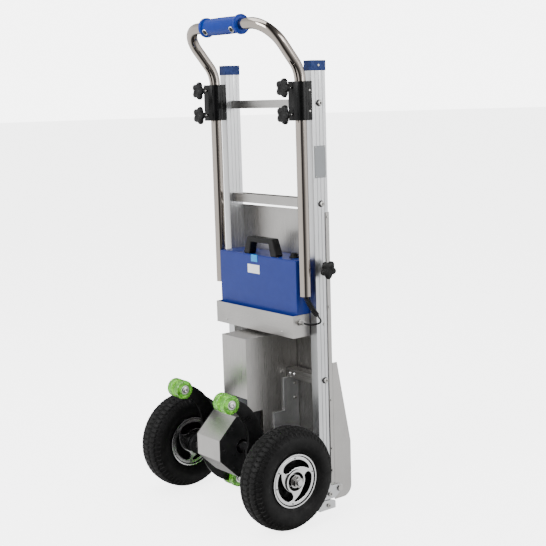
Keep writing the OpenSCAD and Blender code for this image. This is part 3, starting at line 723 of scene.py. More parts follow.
def moulded(name, colour, low, high, bump=0.12, worn_and_lit=1.9, amount=0.35, shine=0.2):
    """Plastic or painted surface with a fine texture and paler outer edges, partly wear and partly painted
    highlight.
    """
    tree, shader = new_material(name)
    shader.inputs["Specular IOR Level"].default_value = shine
    tone = use(tree, "tone", First=opaque(colour), Second=shaded(colour, 0.94), Scale=14.0)
    # Paler outer edges: partly wear, partly a painted highlight where the edges catch the light.
    wear_and_highlight = use(tree, "wear_and_highlight", Worn=shaded([c + 0.02 for c in colour], worn_and_lit), Amount=amount)
    wire(tree, tone.outputs["Color"], wear_and_highlight.inputs["Color"])
    wire(tree, wear_and_highlight.outputs["Color"], shader.inputs["Base Color"])
    mottle = use(tree, "mottle", Scale=22.0, Low=low, High=high)
    wire(tree, mottle.outputs["Value"], shader.inputs["Roughness"])
    add_bump(tree, shader, add_noise(tree, object_coordinates(tree), 1400.0, 3.0), bump, 0.00015)


def make_sheet_metals():
    """Stainless sheet, aluminium, polished tube and turned steel."""
    finish = settings("finishes")
    metal("brushed_upright", finish.stainless, (700.0, 700.0, 9.0), 0.24, 0.40, dust=0.10)
    metal("brushed_across", finish.stainless, (9.0, 700.0, 700.0), 0.24, 0.40)
    metal("milled", finish.aluminium, (420.0, 420.0, 14.0), 0.30, 0.46, dust=0.12)
    metal("extruded", finish.aluminium, (1300.0, 1300.0, 3.0), 0.26, 0.38, bump=0.06, drift=0.93, dust=0.08)
    metal("polished", finish.polished, (900.0, 900.0, 5.0), 0.07, 0.15, bump=0.015, drift=0.93)
    metal("machined", (0.86, 0.86, 0.86), (60.0, 900.0, 900.0), 0.18, 0.30)
    metal("ground", (0.72, 0.72, 0.73), (8.0, 900.0, 900.0), 0.12, 0.22)


def make_fastener_metals():
    """Zinc plating, blackened steel and the rating plate's metal."""
    finish = settings("finishes")
    metal("zinc", finish.zinc, (60.0, 60.0, 60.0), 0.24, 0.42, dust=0.08)
    metal("blackened", (0.09, 0.09, 0.095), (60.0, 60.0, 60.0), 0.32, 0.48)
    metal("plate_blank", (0.27, 0.28, 0.29), (8.0, 500.0, 900.0), 0.30, 0.42)


def make_mouldings():
    """Plastic, painted and printed surfaces."""
    finish = settings("finishes")
    moulded("battery_shell", finish.battery, 0.30, 0.36, bump=0.03, amount=0.12, shine=0.35)
    moulded("grip", finish.grip, 0.30, 0.45, bump=0.10)
    moulded("rail_cap", finish.cap, 0.32, 0.46)
    moulded("black_moulding", (0.004, 0.004, 0.0042), 0.34, 0.50)
    moulded("black_gloss", (0.0025, 0.0025, 0.0027), 0.16, 0.28, bump=0.04)
    moulded("black_plate", (0.003, 0.003, 0.0032), 0.26, 0.38, bump=0.05)
    moulded("dark_plate", (0.010, 0.010, 0.0105), 0.26, 0.40, bump=0.06)
    moulded("rim_paint", (0.003, 0.003, 0.0032), 0.22, 0.36, bump=0.04)
    moulded("cord_jacket", (0.003, 0.003, 0.0032), 0.30, 0.42, bump=0.03)
    moulded("label", (0.80, 0.81, 0.82), 0.30, 0.42, bump=0.02, worn_and_lit=1.0, amount=0.0)
    moulded("sky_tab", (0.02, 0.26, 0.62), 0.30, 0.42, bump=0.02, amount=0.1)
    moulded("motor_paint", (0.05, 0.053, 0.058), 0.30, 0.45)


def make_rubber():
    """Tyre rubber: dull, with dust in the tread and fine pits."""
    finish = settings("finishes")
    tree, shader = new_material("tyre_rubber")
    tone = use(tree, "tone", First=opaque(finish.rubber), Second=shaded(finish.rubber, 1.5), Scale=30.0)
    film = use(tree, "dust", Dust=opaque(finish.dust), Amount=0.06, Scale=70.0)
    wire(tree, tone.outputs["Color"], film.inputs["Color"])
    wire(tree, film.outputs["Color"], shader.inputs["Base Color"])
    mottle = use(tree, "mottle", Scale=40.0, Low=0.46, High=0.66)
    wire(tree, mottle.outputs["Value"], shader.inputs["Roughness"])
    shader.inputs["Specular IOR Level"].default_value = 0.2
    add_bump(tree, shader, add_noise(tree, object_coordinates(tree), 900.0, 4.0), 0.25, 0.0003)


def make_roller_rubber():
    """Clear tinted elastomer that lets some light through."""
    finish = settings("finishes")
    tree, shader = new_material("roller_elastomer")
    tone = use(tree, "tone", First=opaque(finish.roller), Second=shaded(finish.roller, 0.72), Scale=45.0)
    wire(tree, tone.outputs["Color"], shader.inputs["Base Color"])
    mottle = use(tree, "mottle", Scale=50.0, Low=0.14, High=0.26)
    wire(tree, mottle.outputs["Value"], shader.inputs["Roughness"])
    shader.inputs["Transmission Weight"].default_value = 0.80
    shader.inputs["IOR"].default_value = 1.46
    add_bump(tree, shader, add_noise(tree, object_coordinates(tree), 300.0, 3.0), 0.05, 0.0003)


def make_materials():
    """Builds every finish once."""
    make_effects()
    make_sheet_metals()
    make_fastener_metals()
    make_mouldings()
    make_rubber()
    make_roller_rubber()


# ---------------------------------------------------------------- stage


def camera_matrix(stage):
    """Camera pose from its turn, downward tilt and roll."""
    right = Vector((cos(stage.camera_turn), sin(stage.camera_turn), 0))
    level = Vector((-sin(stage.camera_turn), cos(stage.camera_turn), 0))
    ahead = level * cos(stage.camera_tilt) - Z_AXIS * sin(stage.camera_tilt)
    up = Z_AXIS * cos(stage.camera_tilt) + level * sin(stage.camera_tilt)
    local_x = right * cos(stage.camera_roll) + up * sin(stage.camera_roll)
    local_y = up * cos(stage.camera_roll) - right * sin(stage.camera_roll)
    turn = Matrix((local_x, local_y, -ahead)).transposed().to_4x4()
    return Matrix.Translation(Vector(stage.camera_place)) @ turn


def make_camera(stage):
    """Camera at the stage's place."""
    data = bpy.data.cameras.new("Camera")
    data.lens = stage.lens
    data.sensor_width = 36
    camera = placed("Camera", data)
    camera.matrix_world = camera_matrix(stage)
    bpy.context.scene.camera = camera


def make_floor(stage):
    """Plain pale floor that metal doesn't mirror."""
    edit = bmesh.new()
    bmesh.ops.create_circle(edit, cap_ends=True, segments=96, radius=stage.floor_radius)
    mesh = bpy.data.meshes.new("Floor")
    edit.to_mesh(mesh)
    edit.free()
    floor = placed("Floor", mesh)
    tree, shader = new_material("floor")
    pale = stage.floor_colour
    tone = use(tree, "tone", First=opaque(pale), Second=shaded(pale, 0.98), Scale=0.6)
    wire(tree, tone.outputs["Color"], shader.inputs["Base Color"])
    shader.inputs["Roughness"].default_value = 0.7
    shader.inputs["Emission Color"].default_value = (1, 1, 1, 1)
    seen = tree.nodes.new("ShaderNodeLightPath").outputs["Is Camera Ray"]
    wire(tree, add_range(tree, seen, 0, 1, 0.0, stage.floor_glow), shader.inputs["Emission Strength"])
    mesh.materials.append(MATERIALS["floor"])
    floor.visible_glossy = False


def add_softbox(name, place, size, power, target=(0, 0, 0.55)):
    """Rectangular lamp that faces a target."""
    data = bpy.data.lights.new(name, "AREA")
    data.shape = "RECTANGLE"
    data.size, data.size_y = size
    data.energy = power
    lamp = placed(name, data)
    lamp.location = place
    lamp.rotation_euler = (Vector(target) - Vector(place)).to_track_quat("-Z", "Y").to_euler()


def add_bands(tree, direction):
    """Brightness of the surround as metal sees it: bright on one side, dark ahead, soft on the other."""
    dot = tree.nodes.new("ShaderNodeVectorMath")
    dot.operation = "DOT_PRODUCT"
    wire(tree, direction, dot.inputs[0])
    dot.inputs[1].default_value = (0.62, 0.785, 0)
    bands = tree.nodes.new("ShaderNodeValToRGB")
    wire(tree, add_range(tree, dot.outputs["Value"], -1, 1), bands.inputs["Fac"])
    stops = (
        (0.0, 1.0), (0.20, 1.0), (0.30, 0.85), (0.40, 0.12), (0.48, 0.03), (0.58, 0.04), (0.68, 0.13),
        (0.80, 0.24), (0.92, 0.72), (1.0, 1.0),
    )
    ramp = bands.color_ramp
    while len(ramp.elements) < len(stops):
        ramp.elements.new(0.5)
    for element, (position, grey) in zip(ramp.elements, stops):
        element.position = position
        element.color = (grey, grey, grey, 1)
    split = tree.nodes.new("ShaderNodeSeparateXYZ")
    wire(tree, direction, split.inputs["Vector"])
    height = add_range(tree, split.outputs["Z"], 0.25, 0.75, 1.0, 0.45)
    return add_product(tree, bands.outputs["Color"], height)


def make_world(stage):
    """Pale studio surround, with its own brightness for the camera, for metal and for plain light."""
    world = bpy.data.worlds.new("Studio")
    world.use_nodes = True
    bpy.context.scene.world = world
    tree = world.node_tree
    direction = tree.nodes.new("ShaderNodeTexCoord").outputs["Generated"]
    sight = tree.nodes.new("ShaderNodeLightPath")
    plain = tree.nodes["Background"]
    plain.inputs["Color"].default_value = (1, 1, 1, 1)
    plain.inputs["Strength"].default_value = stage.surround
    reflected = tree.nodes.new("ShaderNodeBackground")
    wire(tree, add_bands(tree, direction), reflected.inputs["Color"])
    reflected.inputs["Strength"].default_value = stage.reflection
    seen = tree.nodes.new("ShaderNodeBackground")
    seen.inputs["Color"].default_value = (1, 1, 1, 1)
    seen.inputs["Strength"].default_value = stage.backdrop
    metal_sees = tree.nodes.new("ShaderNodeMixShader")
    wire(tree, sight.outputs["Is Glossy Ray"], metal_sees.inputs["Fac"])
    wire(tree, plain.outputs["Background"], metal_sees.inputs[1])
    wire(tree, reflected.outputs["Background"], metal_sees.inputs[2])
    camera_sees = tree.nodes.new("ShaderNodeMixShader")
    wire(tree, sight.outputs["Is Camera Ray"], camera_sees.inputs["Fac"])
    wire(tree, metal_sees.outputs["Shader"], camera_sees.inputs[1])
    wire(tree, seen.outputs["Background"], camera_sees.inputs[2])
    wire(tree, camera_sees.outputs["Shader"], tree.nodes["World Output"].inputs["Surface"])


def make_stage():
    """Camera, finishes, floor, surround and lamps."""
    stage = settings("stage")
    make_camera(stage)
    make_materials()
    make_floor(stage)
    make_world(stage)
    add_softbox("Key", (0.4, -3.4, 2.6), (2.2, 1.6), stage.key_power)
    add_softbox("Fill", (3.4, 1.2, 1.9), (2.0, 2.0), stage.fill_power)
    add_softbox("Top", (-0.6, -0.4, 3.6), (2.6, 2.6), stage.top_power)


# ---------------------------------------------------------------- wheels


def tyre_reach(turn, lean, wheel):
    """Depth of the tread at an angle round the wheel and an angle across the tyre."""
    if abs(lean) > TREAD_EDGE:
        return 0.0
    lane = (lean / TREAD_EDGE + 1) / 2 * TREAD_ROWS
    lane_middle = abs(lane - round(lane))
    row = int(min(max(lane, 0), TREAD_ROWS - 0.001))
    if lane_middle < ROW_GROOVE and 0.2 < lane < TREAD_ROWS - 0.2:
        return wheel.tread_depth
    shift = 0.5 * (row % 2) + 0.35 * abs(lane - row - 0.5)
    phase = (turn / (2 * pi) * wheel.tread_blocks + shift) % 1
    if row in (0, TREAD_ROWS - 1):
        return wheel.tread_depth if phase < OUTER_GAP else 0.0
    return wheel.tread_depth * INNER_GAP_DEPTH if phase < INNER_GAP else 0.0


def tyre_section(bead_radius, crown_radius, half_width):
    """(across, radius, lean) points of a tyre's outer section, from one bead to the other."""
    bulge = half_width * 0.81
    bead_width = bulge * 0.88
    flat = half_width - bulge
    middle = crown_radius - bulge
    points = [(-bead_width, bead_radius, pi)]
    steps = 64
    for i in range(steps + 1):
        lean = radians(-128 + 256 * i / steps)
        side = flat * (1 if lean > 0 else -1) * min(1, abs(lean) / radians(20))
        points.append((side + bulge * sin(lean), middle + bulge * cos(lean), lean))
    points.append((bead_width, bead_radius, pi))
    return points


def make_tyre(side):
    """Air-filled tyre with block tread."""
    wheel = settings("wheels")
    node = "tyre_" + side
    low, high, middle = span(node)
    crown = (high.z - low.z) / 2 - INSIDE
    half = (high.x - low.x) / 2 - INSIDE
    rim_low, rim_high, _ = span("rim_" + side)
    bead = (rim_high.z - rim_low.z) / 2 - 0.002
    section = tyre_section(bead, crown, half)
    edit = bmesh.new()
    turns = wheel.tread_blocks * 8
    rings = []
    for i in range(turns):
        angle = 2 * pi * i / turns
        outward = Vector((0, cos(angle), sin(angle)))
        ring = []
        for across, radius, lean in section:
            reach = radius - tyre_reach(angle, lean, wheel) * cos(lean * 0.6)
            ring.append(edit.verts.new(middle + X_AXIS * across + outward * reach))
        rings.append(ring)
    for i, ring in enumerate(rings):
        after = rings[(i + 1) % turns]
        for k in range(len(ring) - 1):
            edit.faces.new((ring[k], ring[k + 1], after[k + 1], after[k]))
    rubber = MATERIALS["tyre_rubber"]
    piece("tyre_body_" + side, edit, side + "_wheel", rubber, (node,), angle=24)


def slot_outline(start, span_angle, inner, outer, flip):
    """Comma-shaped slot: wide and round at its start, drawn out to a point against the outer ring."""
    steps = 30
    outside, inside = [], []
    for i in range(steps + 1):
        share = i / steps
        angle = start - span_angle * share
        round_start = (1 - min(1, share / 0.16)) ** 2
        round_end = (1 - min(1, (1 - share) / 0.08)) ** 2
        low = inner + (outer - 0.004 - inner) * share ** 2.6 + 0.008 * round_start
        high = outer - 0.008 * round_start - 0.0018 * round_end
        outside.append((flip * high * cos(angle), high * sin(angle)))
        inside.append((flip * low * cos(angle), low * sin(angle)))
    return outside + inside[::-1]


def circle_outline(radius, steps=96):
    """Points of a circle."""
    return [(radius * cos(2 * pi * i / steps), radius * sin(2 * pi * i / steps)) for i in range(steps)]


def cut_plate(name, outlines, thickness, edge):
    """Mesh of a flat plate with holes, its middle plane at local Z = 0."""
    curve = bpy.data.curves.new(name, "CURVE")
    curve.dimensions = "2D"
    curve.fill_mode = "BOTH"
    curve.extrude = thickness / 2 - edge
    curve.bevel_depth = edge
    curve.offset = -edge
    curve.bevel_resolution = 1
    for outline in outlines:
        spline = curve.splines.new("POLY")
        spline.points.add(len(outline) - 1)
        spline.use_cyclic_u = True
        for point, (x, y) in zip(spline.points, outline):
            point.co = (x, y, 0, 1)
    holder = placed(name, curve)
    graph = bpy.context.evaluated_depsgraph_get()
    mesh = bpy.data.meshes.new_from_object(holder.evaluated_get(graph))
    bpy.data.objects.remove(holder)
    bpy.data.curves.remove(curve)
    return mesh


def make_rim(side):
    """Painted rim with machined lips, two slotted discs with a web between them, and a hub."""
    wheel = settings("wheels")
    low, high, _ = span("rim_" + side)
    _, _, middle = span("tyre_" + side)
    lip = (high.z - low.z) / 2 - 0.0003
    outward = X_AXIS * SIDES[side]
    flange = wheel.flange_place
    groove = lip - wheel.lip_width
    seat = wheel.disc_radius - 0.0004
    half = [
        (flange - 0.0085, seat), (flange - 0.0080, groove - 0.0002), (flange, groove), (flange, lip - 0.0006),
        (flange - 0.0006, lip), (flange - 0.0035, lip), (flange - 0.0042, lip - 0.003),
    ]
    barrel = half + [(-x, radius) for x, radius in reversed(half)]
    edit = bmesh.new()
    lathe(edit, barrel, middle, outward, steps=96, closed=True)
    hub_end = outer_face("rim_" + side) - abs(middle.x) - 0.0006
    ring = wheel.hub_radius
    hub = [
        (-HUB_BACK, HUB_BORE), (-HUB_BACK, 0.0240), (-0.0440, 0.0255), (-flange, DISC_BORE),
        (hub_end - 0.0060, DISC_BORE), (hub_end - 0.0010, ring - 0.0008), (hub_end - 0.0004, ring - 0.0045),
        (hub_end - HUB_WELL, ring - 0.0050), (hub_end - HUB_WELL, HUB_BORE),
    ]
    lathe(edit, hub, middle, outward, steps=64, closed=True)
    web_in, web_out = DISC_BORE - 0.0007, seat + 0.0006
    web = [
        (-wheel.web_half, web_in), (-wheel.web_half, web_out),
        (wheel.web_half, web_out), (wheel.web_half, web_in),
    ]
    lathe(edit, web, middle, outward, steps=96, closed=True)
    paint_black = MATERIALS["rim_paint"]
    piece("rim_body_" + side, edit, side + "_wheel", paint_black, ("rim_" + side,), angle=28)
    for end in (1, -1):
        make_rim_disc(side, middle, outward, end)
    make_rim_rings(side, middle, outward, lip, hub_end)


def make_rim_disc(side, middle, outward, end):
    """Slotted disc at the outer or the inner face of a rim, bright on its face only."""
    wheel = settings("wheels")
    flip = SIDES[side]
    slot_out = wheel.disc_radius - 0.0080
    slots = [slot_outline(radians(start), wheel.slot_span, SLOT_IN, slot_out, flip) for start in SLOT_STARTS]
    outlines = [circle_outline(wheel.disc_radius), circle_outline(DISC_BORE, 48), *slots]
    name = "rim_disc_" + side + ("_outer" if end > 0 else "_inner")
    mesh = cut_plate(name, outlines, wheel.disc_thickness, 0.0009)
    mesh.materials.append(MATERIALS["machined"])
    mesh.materials.append(MATERIALS["rim_paint"])
    for face in mesh.polygons:
        face.material_index = 0 if face.normal.z * end > 0.5 else 1
    place = wheel.flange_place - wheel.disc_thickness / 2 - 0.0016
    mesh.transform(along(middle + outward * end * place, outward))
    crisp(mesh, 40)
    disc = placed(name, mesh)
    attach(disc, side + "_wheel")


def make_rim_rings(side, middle, outward, lip, hub_end):
    """Bright turned rings of a rim and the dark studs in its broad ring."""
    wheel = settings("wheels")
    body = side + "_wheel"
    edit = bmesh.new()
    for end in (1, -1):
        face = middle + outward * end * (wheel.flange_place - 0.0004)
        washer(edit, face, outward * end, lip - wheel.lip_width + 0.0003, lip - 0.0004, 0.0009)
    ring = wheel.hub_radius
    washer(edit, middle + outward * (hub_end - 0.0008), outward, ring - 0.0046, ring, 0.0010)
    washer(edit, middle + outward * (hub_end - 0.0138), outward, 0.0088, 0.0172, 0.0036)
    piece("rim_bright_" + side, edit, body, MATERIALS["machined"])
    studs = bmesh.new()
    face = middle + outward * (wheel.flange_place - 0.0018)
    for angle in STUD_ANGLES:
        reach = wheel.disc_radius - 0.0042
        spot = face + reach * (Y_AXIS * cos(radians(angle)) + Z_AXIS * sin(radians(angle)))
        socket_head(studs, spot, outward, *RIM_STUD)
    piece("rim_studs_" + side, studs, body, MATERIALS["blackened"])


def make_axles():
    """Stub axles, their nuts and the plates that carry them."""
    mould = settings("mouldings")
    for side in SIDES:
        eased_copy("stub_axle_" + side, MATERIALS["ground"], 0.0012)
        eased_copy("axle_plate_" + side, MATERIALS["dark_plate"], mould.plate_edge)
    eased_copy("axle_nuts", MATERIALS["zinc"], mould.turned_edge)
    dress("wheel_bearings", MATERIALS["ground"])
    screws = bmesh.new()
    _, high, _ = span("stub_axle_right")
    for side, sign in SIDES.items():
        outward = X_AXIS * sign
        _, _, middle = span("stub_axle_" + side)
        place = Vector((sign * high.x, middle.y, middle.z))
        washer(screws, place - outward * 0.0195, outward, 0.0085, 0.0150, 0.0020)
        plate_low, plate_high, _ = span("axle_plate_" + side)
        inner = min(abs(plate_low.x), abs(plate_high.x))
        for height in AXLE_PLATE_BOLTS:
            spot = Vector((sign * inner, plate_high.y - 0.022, height))
            socket_head(screws, spot, -outward, *PLATE_BOLT)
    piece("axle_fasteners", screws, "frame", MATERIALS["zinc"])


# ---------------------------------------------------------------- frame


def make_rails():
    """Grooved rails and their moulded caps, each cap held by a screw."""
    mould = settings("mouldings")
    screws = bmesh.new()
    for side, sign in SIDES.items():
        eased_copy("rail_" + side, MATERIALS["extruded"], mould.sheet_edge)
        eased_copy("rail_cap_" + side, MATERIALS["rail_cap"], mould.moulded_edge, 3)
        _, _, middle = span("rail_cap_" + side)
        spot = Vector((sign * (outer_face("rail_cap_" + side) - 0.0003), middle.y, middle.z))
        pan_head(screws, spot, X_AXIS * sign, settings("fasteners").screw_radius)
    piece("cap_screws", screws, "frame", MATERIALS["zinc"])


def make_crossbars():
    """Bars between the rails, with their bolts, and washers in a dark blackened finish that paints the shadow
    round each bolt head.
    """
    fasteners = settings("fasteners")
    bars = ("top_crossbar", "mid_crossbar", "lower_crossbar")
    for bar in bars:
        eased_copy(bar, MATERIALS["brushed_across"], settings("mouldings").plate_edge)
    edit, painted_shadow_washers = bmesh.new(), bmesh.new()
    low, high, _ = span("rail_right")
    rail_mid = (low.y + high.y) / 2
    thick = fasteners.washer_thickness
    for bar in bars:
        bar_z = span(bar)[2].z
        for sign in SIDES.values():
            outward = X_AXIS * sign
            face = Vector((sign * high.x, rail_mid, bar_z))
            # Each washer is dark blackened steel: a painted shadow ring round the bolt head.
            washer(painted_shadow_washers, face, outward, 0.0042, fasteners.washer_radius, thick)
            socket_head(edit, face + outward * thick, outward, fasteners.head_radius, fasteners.head_height)
    piece("frame_bolts", edit, "frame", MATERIALS["zinc"], ("crossbar_bolts",))
    piece("frame_washers_painted_shadow", painted_shadow_washers, "frame", MATERIALS["blackened"])
    make_bar_screws()


def make_bar_screws():
    """Bright screws in the lower bar, two on each side of the drive housing."""
    edit = bmesh.new()
    low, _, middle = span("lower_crossbar")
    for sign in SIDES.values():
        for x in BAR_SCREWS:
            spot = Vector((sign * x, low.y - 0.0002, middle.z))
            pan_head(edit, spot, -Y_AXIS, settings("fasteners").bar_screw_radius)
    piece("bar_screws", edit, "frame", MATERIALS["machined"])


def make_front_panel():
    """Sheet across the front with its fold screws."""
    eased_copy("front_panel", MATERIALS["brushed_upright"], settings("mouldings").sheet_edge)
    radius = settings("fasteners").screw_radius
    low, high, _ = span("front_panel")
    rail_face = span("rail_right")[1].x
    edit = bmesh.new()
    for sign in SIDES.values():
        for height in PANEL_SCREWS:
            pan_head(edit, Vector((sign * high.x, low.y + 0.005, height)), X_AXIS * sign, radius)
        pan_head(edit, Vector((sign * rail_face, low.y - 0.012, RAIL_SCREW)), X_AXIS * sign, radius)
    piece("panel_screws", edit, "frame", MATERIALS["zinc"])


def make_rating_plate():
    """Blank plate riveted to the right rail."""
    low, high, _ = span("rail_right")
    size = Vector(RATING_PLATE)
    middle = Vector((high.x + size.x / 2, (low.y + high.y) / 2, RATING_PLATE_HEIGHT))
    edit = bmesh.new()
    block(edit, middle - size / 2, middle + size / 2)
    piece("rating_plate", edit, "frame", MATERIALS["plate_blank"], edge=0.0004)
    rivets = bmesh.new()
    margin = 0.0035
    for y in (-1, 1):
        for z in (-1, 1):
            corner = Vector((size.x / 2, y * (size.y / 2 - margin), z * (size.z / 2 - margin)))
            pan_head(rivets, middle + corner, X_AXIS, settings("fasteners").rivet_radius)
    piece("plate_rivets", rivets, "frame", MATERIALS["zinc"])


def make_feet():
    """Feet, toe plate brackets and their bolts."""
    mould = settings("mouldings")
    edit = bmesh.new()
    for side, sign in SIDES.items():
        for name, back, height, head in (
            ("foot_", 0.030, 0.012, FOOT_BOLT), ("foot_bracket_", 0.026, 0.040, BRACKET_BOLT),
        ):
            eased_copy(name + side, MATERIALS["milled"], mould.plate_edge)
            low, _, _ = span(name + side)
            spot = Vector((sign * outer_face(name + side), low.y + back, height))
            socket_head(edit, spot, X_AXIS * sign, *head)
    piece("foot_bolts", edit, "frame", MATERIALS["zinc"])
    eased_copy("toe_hinge_pins", MATERIALS["zinc"], mould.turned_edge)


def make_toe_plate():
    """Folding toe plate."""
    eased_copy("toe_plate", MATERIALS["brushed_upright"], settings("mouldings").sheet_edge)


# ---------------------------------------------------------------- battery and cord


def make_tray():
    """Battery tray with its screws, the control unit in it and the cord's gland."""
    mould = settings("mouldings")
    eased_copy("battery_tray", MATERIALS["brushed_across"], mould.sheet_edge)
    eased_copy("control_unit", MATERIALS["black_moulding"], mould.box_edge)
    eased_copy("cord_gland", MATERIALS["zinc"], 0.0006)
    low, _, _ = span("battery_tray")
    edit = bmesh.new()
    for sign in SIDES.values():
        spot = Vector((sign * TRAY_SCREW, low.y, low.z + 0.012))
        pan_head(edit, spot, -Y_AXIS, settings("fasteners").case_screw_radius)
    piece("tray_screws", edit, "frame", MATERIALS["zinc"])


def make_battery():
    """Battery shell with its lid plate, screws, labels, carry handle and socket."""
    mould = settings("mouldings")
    low, high, _ = span("battery_case")
    inset = Vector((mould.lid_inset, mould.lid_inset, 0))
    lid_depth = 0.02
    edit = bmesh.new()
    block(edit, low, high - Z_AXIS * mould.lid_height)
    block(edit, Vector((low.x, low.y, high.z - lid_depth)) + inset, high - inset)
    blue = MATERIALS["battery_shell"]
    shell = piece("battery_shell", edit, "battery", blue, ("battery_case",))
    eased(shell, mould.battery_edge, 3)
    screws = bmesh.new()
    for x in LID_SCREWS:
        for y in (low.y + LID_MARGIN, high.y - LID_MARGIN):
            spot = Vector((x, y, high.z - 0.0003))
            pan_head(screws, spot, Z_AXIS, settings("fasteners").case_screw_radius)
    piece("battery_screws", screws, "battery", MATERIALS["blackened"])
    make_battery_labels(low, high)
    eased_copy("battery_handle", MATERIALS["black_moulding"], mould.carry_edge, 3)
    make_battery_socket()


def make_battery_labels(low, high):
    """Blank label and a small tab on the rear face."""
    sunk = low.y + 0.001
    label = bmesh.new()
    block(label, (-0.038, low.y - 0.0006, high.z - 0.049), (0.012, sunk, high.z - 0.026))
    piece("battery_label", label, "battery", MATERIALS["label"], edge=0.0004)
    tab = bmesh.new()
    block(tab, (-0.022, low.y - 0.0012, high.z - 0.018), (0.004, sunk, high.z + 0.0004))
    piece("battery_tab", tab, "battery", MATERIALS["sky_tab"], edge=0.0006)


def make_battery_socket():
    """Round charging socket with a rim round its well, and three pins."""
    low, high, middle = span("battery_socket")
    tall = high.z - low.z
    wide = (high.x - low.x) / 2
    edit = bmesh.new()
    profile = [
        (0, 0), (0, wide), (0.0035, wide), (0.0045, wide - 0.001), (0.0045, wide - 0.003),
        (tall - 0.001, wide - 0.0036), (tall, wide - 0.0045), (tall, wide - 0.0065),
        (tall - 0.005, wide - 0.0068), (tall - 0.005, 0),
    ]
    lathe(edit, profile, Vector((middle.x, middle.y, low.z)), Z_AXIS, steps=48)
    black = MATERIALS["black_moulding"]
    piece("socket_body", edit, "battery", black, ("battery_socket",))
    pins = bmesh.new()
    circle = 0.003
    for k in range(3):
        angle = 2 * pi * k / 3
        spot = Vector((middle.x + circle * cos(angle), middle.y + circle * sin(angle), low.z + 0.006))
        pan_head(pins, spot, Z_AXIS, 0.0010)
    piece("socket_pins", pins, "battery", MATERIALS["ground"])


def coil_route():
    """Middle line of the curly part, from its stored end inside the tube down to the lead."""
    low, high, _ = span("handle_tube")
    tube_radius = settings("cord").tube_radius
    mouth = Vector((high.x - tube_radius, high.y - tube_radius, low.z))
    return [mouth + Vector(step) / 1000 for step in CURL_POINTS]


def coil_helix(path, cord):
    """Turns of the curly part round its middle line; they close in where the straight lead starts."""
    frames = travelling_frames(path)
    distances = [0.0]
    for first, second in zip(path, path[1:]):
        distances.append(distances[-1] + (second - first).length)
    total = distances[-1]
    turn_radius = cord.curl_radius - cord.wire_radius - INSIDE
    turns = total / cord.coil_pitch
    steps = int(turns * 14)
    helix = []
    k = 0
    for i in range(steps + 1):
        at = total * i / steps
        while k < len(distances) - 2 and distances[k + 1] < at:
            k += 1
        share = (at - distances[k]) / (distances[k + 1] - distances[k])
        point = path[k].lerp(path[k + 1], share)
        _, across, up = frames[k]
        angle = 2 * pi * turns * i / steps
        tighten = min(1, (total - at) / 0.006)
        helix.append(point + turn_radius * tighten * (cos(angle) * across + sin(angle) * up))
    return helix


def make_cord():
    """Curly control cord and its straight lead to the gland."""
    cord = settings("cord")
    route = coil_route()
    edit = bmesh.new()
    sweep(edit, coil_helix(smooth_path(route, 12), cord), cord.wire_radius, 7)
    mesh = closed_mesh("cord_curl", edit)
    mesh.shade_smooth()
    mesh.materials.append(MATERIALS["cord_jacket"])
    curl = placed("cord_curl", mesh)
    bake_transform(curl)
    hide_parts("control_cord_coil")
    make_lead(route[-1])


def make_lead(start):
    """Straight lead from the curly part to the gland."""
    path = smooth_path([start + Vector(step) / 1000 for step in LEAD_POINTS], 6)
    edit = bmesh.new()
    sweep(edit, path, settings("cord").lead_radius, 12)
    piece("cord_lead", edit, "frame", MATERIALS["cord_jacket"], ("control_cord_tail",))


# ---------------------------------------------------------------- knobs, clamps and handle


def lobes(angle):
    """Outline of a five-lobed star knob, as a share of its reach."""
    wave = 0.5 + 0.5 * cos(5 * angle)
    return 0.70 + 0.30 * wave ** 0.62


def make_star_knob(node, body, outward):
    """Star knob with a domed, hollowed head on its stud."""
    low, high, middle = span(node)
    outward = Vector(outward)
    reach = 0.0239
    head_height = 0.0125
    front = max(low.dot(outward), high.dot(outward))
    back = min(low.dot(outward), high.dot(outward))
    centre = middle - outward * middle.dot(outward)
    head = front - head_height
    edit = bmesh.new()
    profile = [
        (0, 0), (0, reach * 0.72), (0.0010, reach * 0.93), (0.0028, reach), (0.0082, reach),
        (0.0108, reach * 0.94), (0.0123, reach * 0.78), (head_height, reach * 0.42), (0.0115, reach * 0.36),
        (0.0113, 0),
    ]
    lathe(edit, profile, centre + outward * head, outward, steps=100, shape=lobes)
    neck = [(0, 0), (0, 0.0068), (0.0008, 0.0074), (0.0054, 0.0092), (0.0054, 0)]
    lathe(edit, neck, centre + outward * (head - 0.0050), outward, steps=40)
    black = MATERIALS["black_moulding"]
    piece("knob_" + body, edit, body, black, (node,), angle=38)
    stud = bmesh.new()
    long = head - 0.0048 - back
    rod = [(0, 0), (0, 0.0032), (0.0008, STUD_RADIUS), (long, STUD_RADIUS), (long, 0)]
    lathe(stud, rod, centre + outward * back, outward, steps=24)
    piece("stud_" + body, stud, body, MATERIALS["zinc"])


def make_knobs():
    """Clamp knobs and the battery knob."""
    for side in SIDES:
        for end in ("upper", "lower"):
            make_star_knob(f"clamp_knob_{side}_{end}", f"{side}_{end}_knob", -Y_AXIS)
    make_star_knob("battery_knob", "battery_knob", X_AXIS)


def make_clamps():
    """Moulded clamps and the screws that hold them to the rails."""
    edit = bmesh.new()
    for side, sign in SIDES.items():
        node = "clamp_" + side
        eased_copy(node, MATERIALS["black_gloss"], settings("mouldings").clamp_edge, 3)
        _, high, middle = span(node)
        for height in (middle.z - 0.025, middle.z + 0.025):
            spot = Vector((sign * (outer_face(node) - 0.0068), high.y - 0.008, height))
            pan_head(edit, spot, X_AXIS * sign, settings("fasteners").small_screw_radius)
    piece("clamp_screws", edit, "frame", MATERIALS["zinc"])


